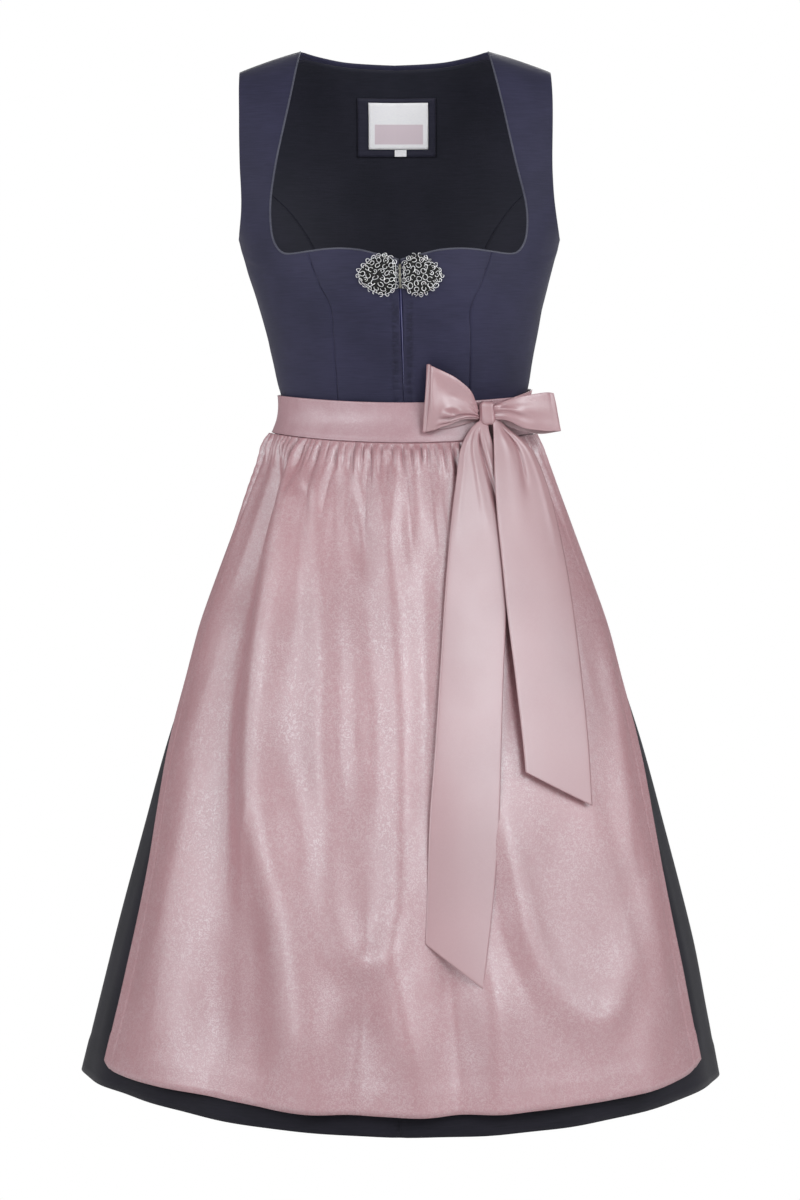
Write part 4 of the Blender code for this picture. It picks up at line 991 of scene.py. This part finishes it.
# Lights: name, place, size, power
LIGHTS = (
    ("main light", (1.75, -2.5, 0.9), 1.9, 52),
    ("filling light", (-1.8, -2.55, 0.5), 1.6, 37),
    ("light from the right", (3, -0.8, 0.4), 1.6, 22),
    ("light from the left", (-3, -0.8, 0.4), 1.6, 20),
    ("light from behind", (0.4, 2.4, 0.9), 1.8, 34),
)
LIGHT_AIM = Vector((0, 0, -0.5))
FLOOR_HEIGHT, FLOOR_REACH = -1.35, 9
CAMERA_PLACE, CAMERA_TILT = (0, -2.9, -0.3017), 85.5
LENS, SENSOR_WIDTH = 89.2, 36


def area_light(name, place, size, power):
    data = bpy.data.lights.new(name, "AREA")
    data.shape, data.size, data.energy = "DISK", size, power
    thing = placed(name, data)
    thing.location = place
    thing.rotation_euler = (LIGHT_AIM - Vector(place)).to_track_quat("-Z", "Y").to_euler()


def studio():
    """White surroundings that light the scene less than the camera sees them, and the lights."""
    world = bpy.data.worlds.new("studio")
    world.use_nodes = True
    bpy.context.scene.world = world
    tree = world.node_tree
    background = tree.nodes["Background"]
    background.inputs["Color"].default_value = (1, 1, 1, 1)
    seen = tree.nodes.new("ShaderNodeLightPath")
    strength = tree.nodes.new("ShaderNodeMapRange")
    strength.inputs["To Min"].default_value = 0.23
    strength.inputs["To Max"].default_value = 1
    tree.links.new(seen.outputs["Is Camera Ray"], strength.inputs["Value"])
    tree.links.new(strength.outputs["Result"], background.inputs["Strength"])
    for light in LIGHTS:
        area_light(*light)


def pale_floor():
    """A floor that glows softly for the camera, more so away from the dress."""
    ends = (-FLOOR_REACH, FLOOR_REACH)
    points = np.array([(x, y, FLOOR_HEIGHT) for y in ends for x in ends])
    finish = Finish("pale floor", Roughness=0.85)
    shade = finish.noise(2, 2)
    finish.feed("Base Color", finish.mix(shade, (0.86, 0.86, 0.86), (0.9, 0.9, 0.9)))
    distance = finish.node("VectorMath", {"operation": "LENGTH"}, {0: finish.place((1, 1, 0))}, 1)
    seen = finish.node("LightPath", {}, {}, 0)
    glow = finish.node("Emission", {}, {"Strength": 1}, 0)
    share = (0.5 + 0.5 * distance.between(0.35, 0.8)) * seen
    plain = Value(finish, finish.shader.outputs[0])
    both = finish.node("MixShader", {}, {0: share, 1: plain, 2: glow}, 0)
    output = finish.tree.nodes["Material Output"]
    finish.tree.links.new(both.socket, output.inputs["Surface"])
    add_mesh("floor", points, np.array([(0, 1, 3, 2)]), finish.material)


def camera():
    data = bpy.data.cameras.new("camera")
    data.lens, data.sensor_width = LENS, SENSOR_WIDTH
    thing = placed("camera", data)
    thing.location = CAMERA_PLACE
    thing.rotation_euler = (math.radians(CAMERA_TILT), 0, 0)
    bpy.context.scene.camera = thing


for side, sign in SIDES:
    bodice_front(side, sign)
    bodice_side_front(side, sign)
    bodice_side_back(side, sign)
bodice_back()
front_underlap()
labels()
neck_piping()
skirt_front()
skirt_back()
apron_band()
apron_panel()
tie_round_back()
bow_loop_left()
bow_loop_right()
bow_knot()
# Pleats of a tail: shares of its width at the knot and at the end, half width, height, drop of the end
tail("tie_tail_long", TAIL_LONG, (
    (0.5, 1.15, 0.09, -0.0042, 0.465), (0.3, 0.8, 0.1, 0.0012, 0.47), (0.72, 0.86, 0.06, 0.0008, 0.4),
    (0.16, 0.1, 0.08, 0.0006, 0.48),
), 101)
tail("tie_tail_short", TAIL_SHORT, (
    (0.7, 0.56, 0.07, -0.0028, 0.43), (0.42, 0.38, 0.16, 0.0012, 0.48), (0.9, 0.9, 0.07, 0.0008, 0.5),
), 107)
clasp_half("clasp_left", 1, 121)
clasp_half("clasp_right", -1, 122)
clasp_hook()
studio()
pale_floor()
camera()
bpy.context.scene.view_settings.view_transform = "Standard"
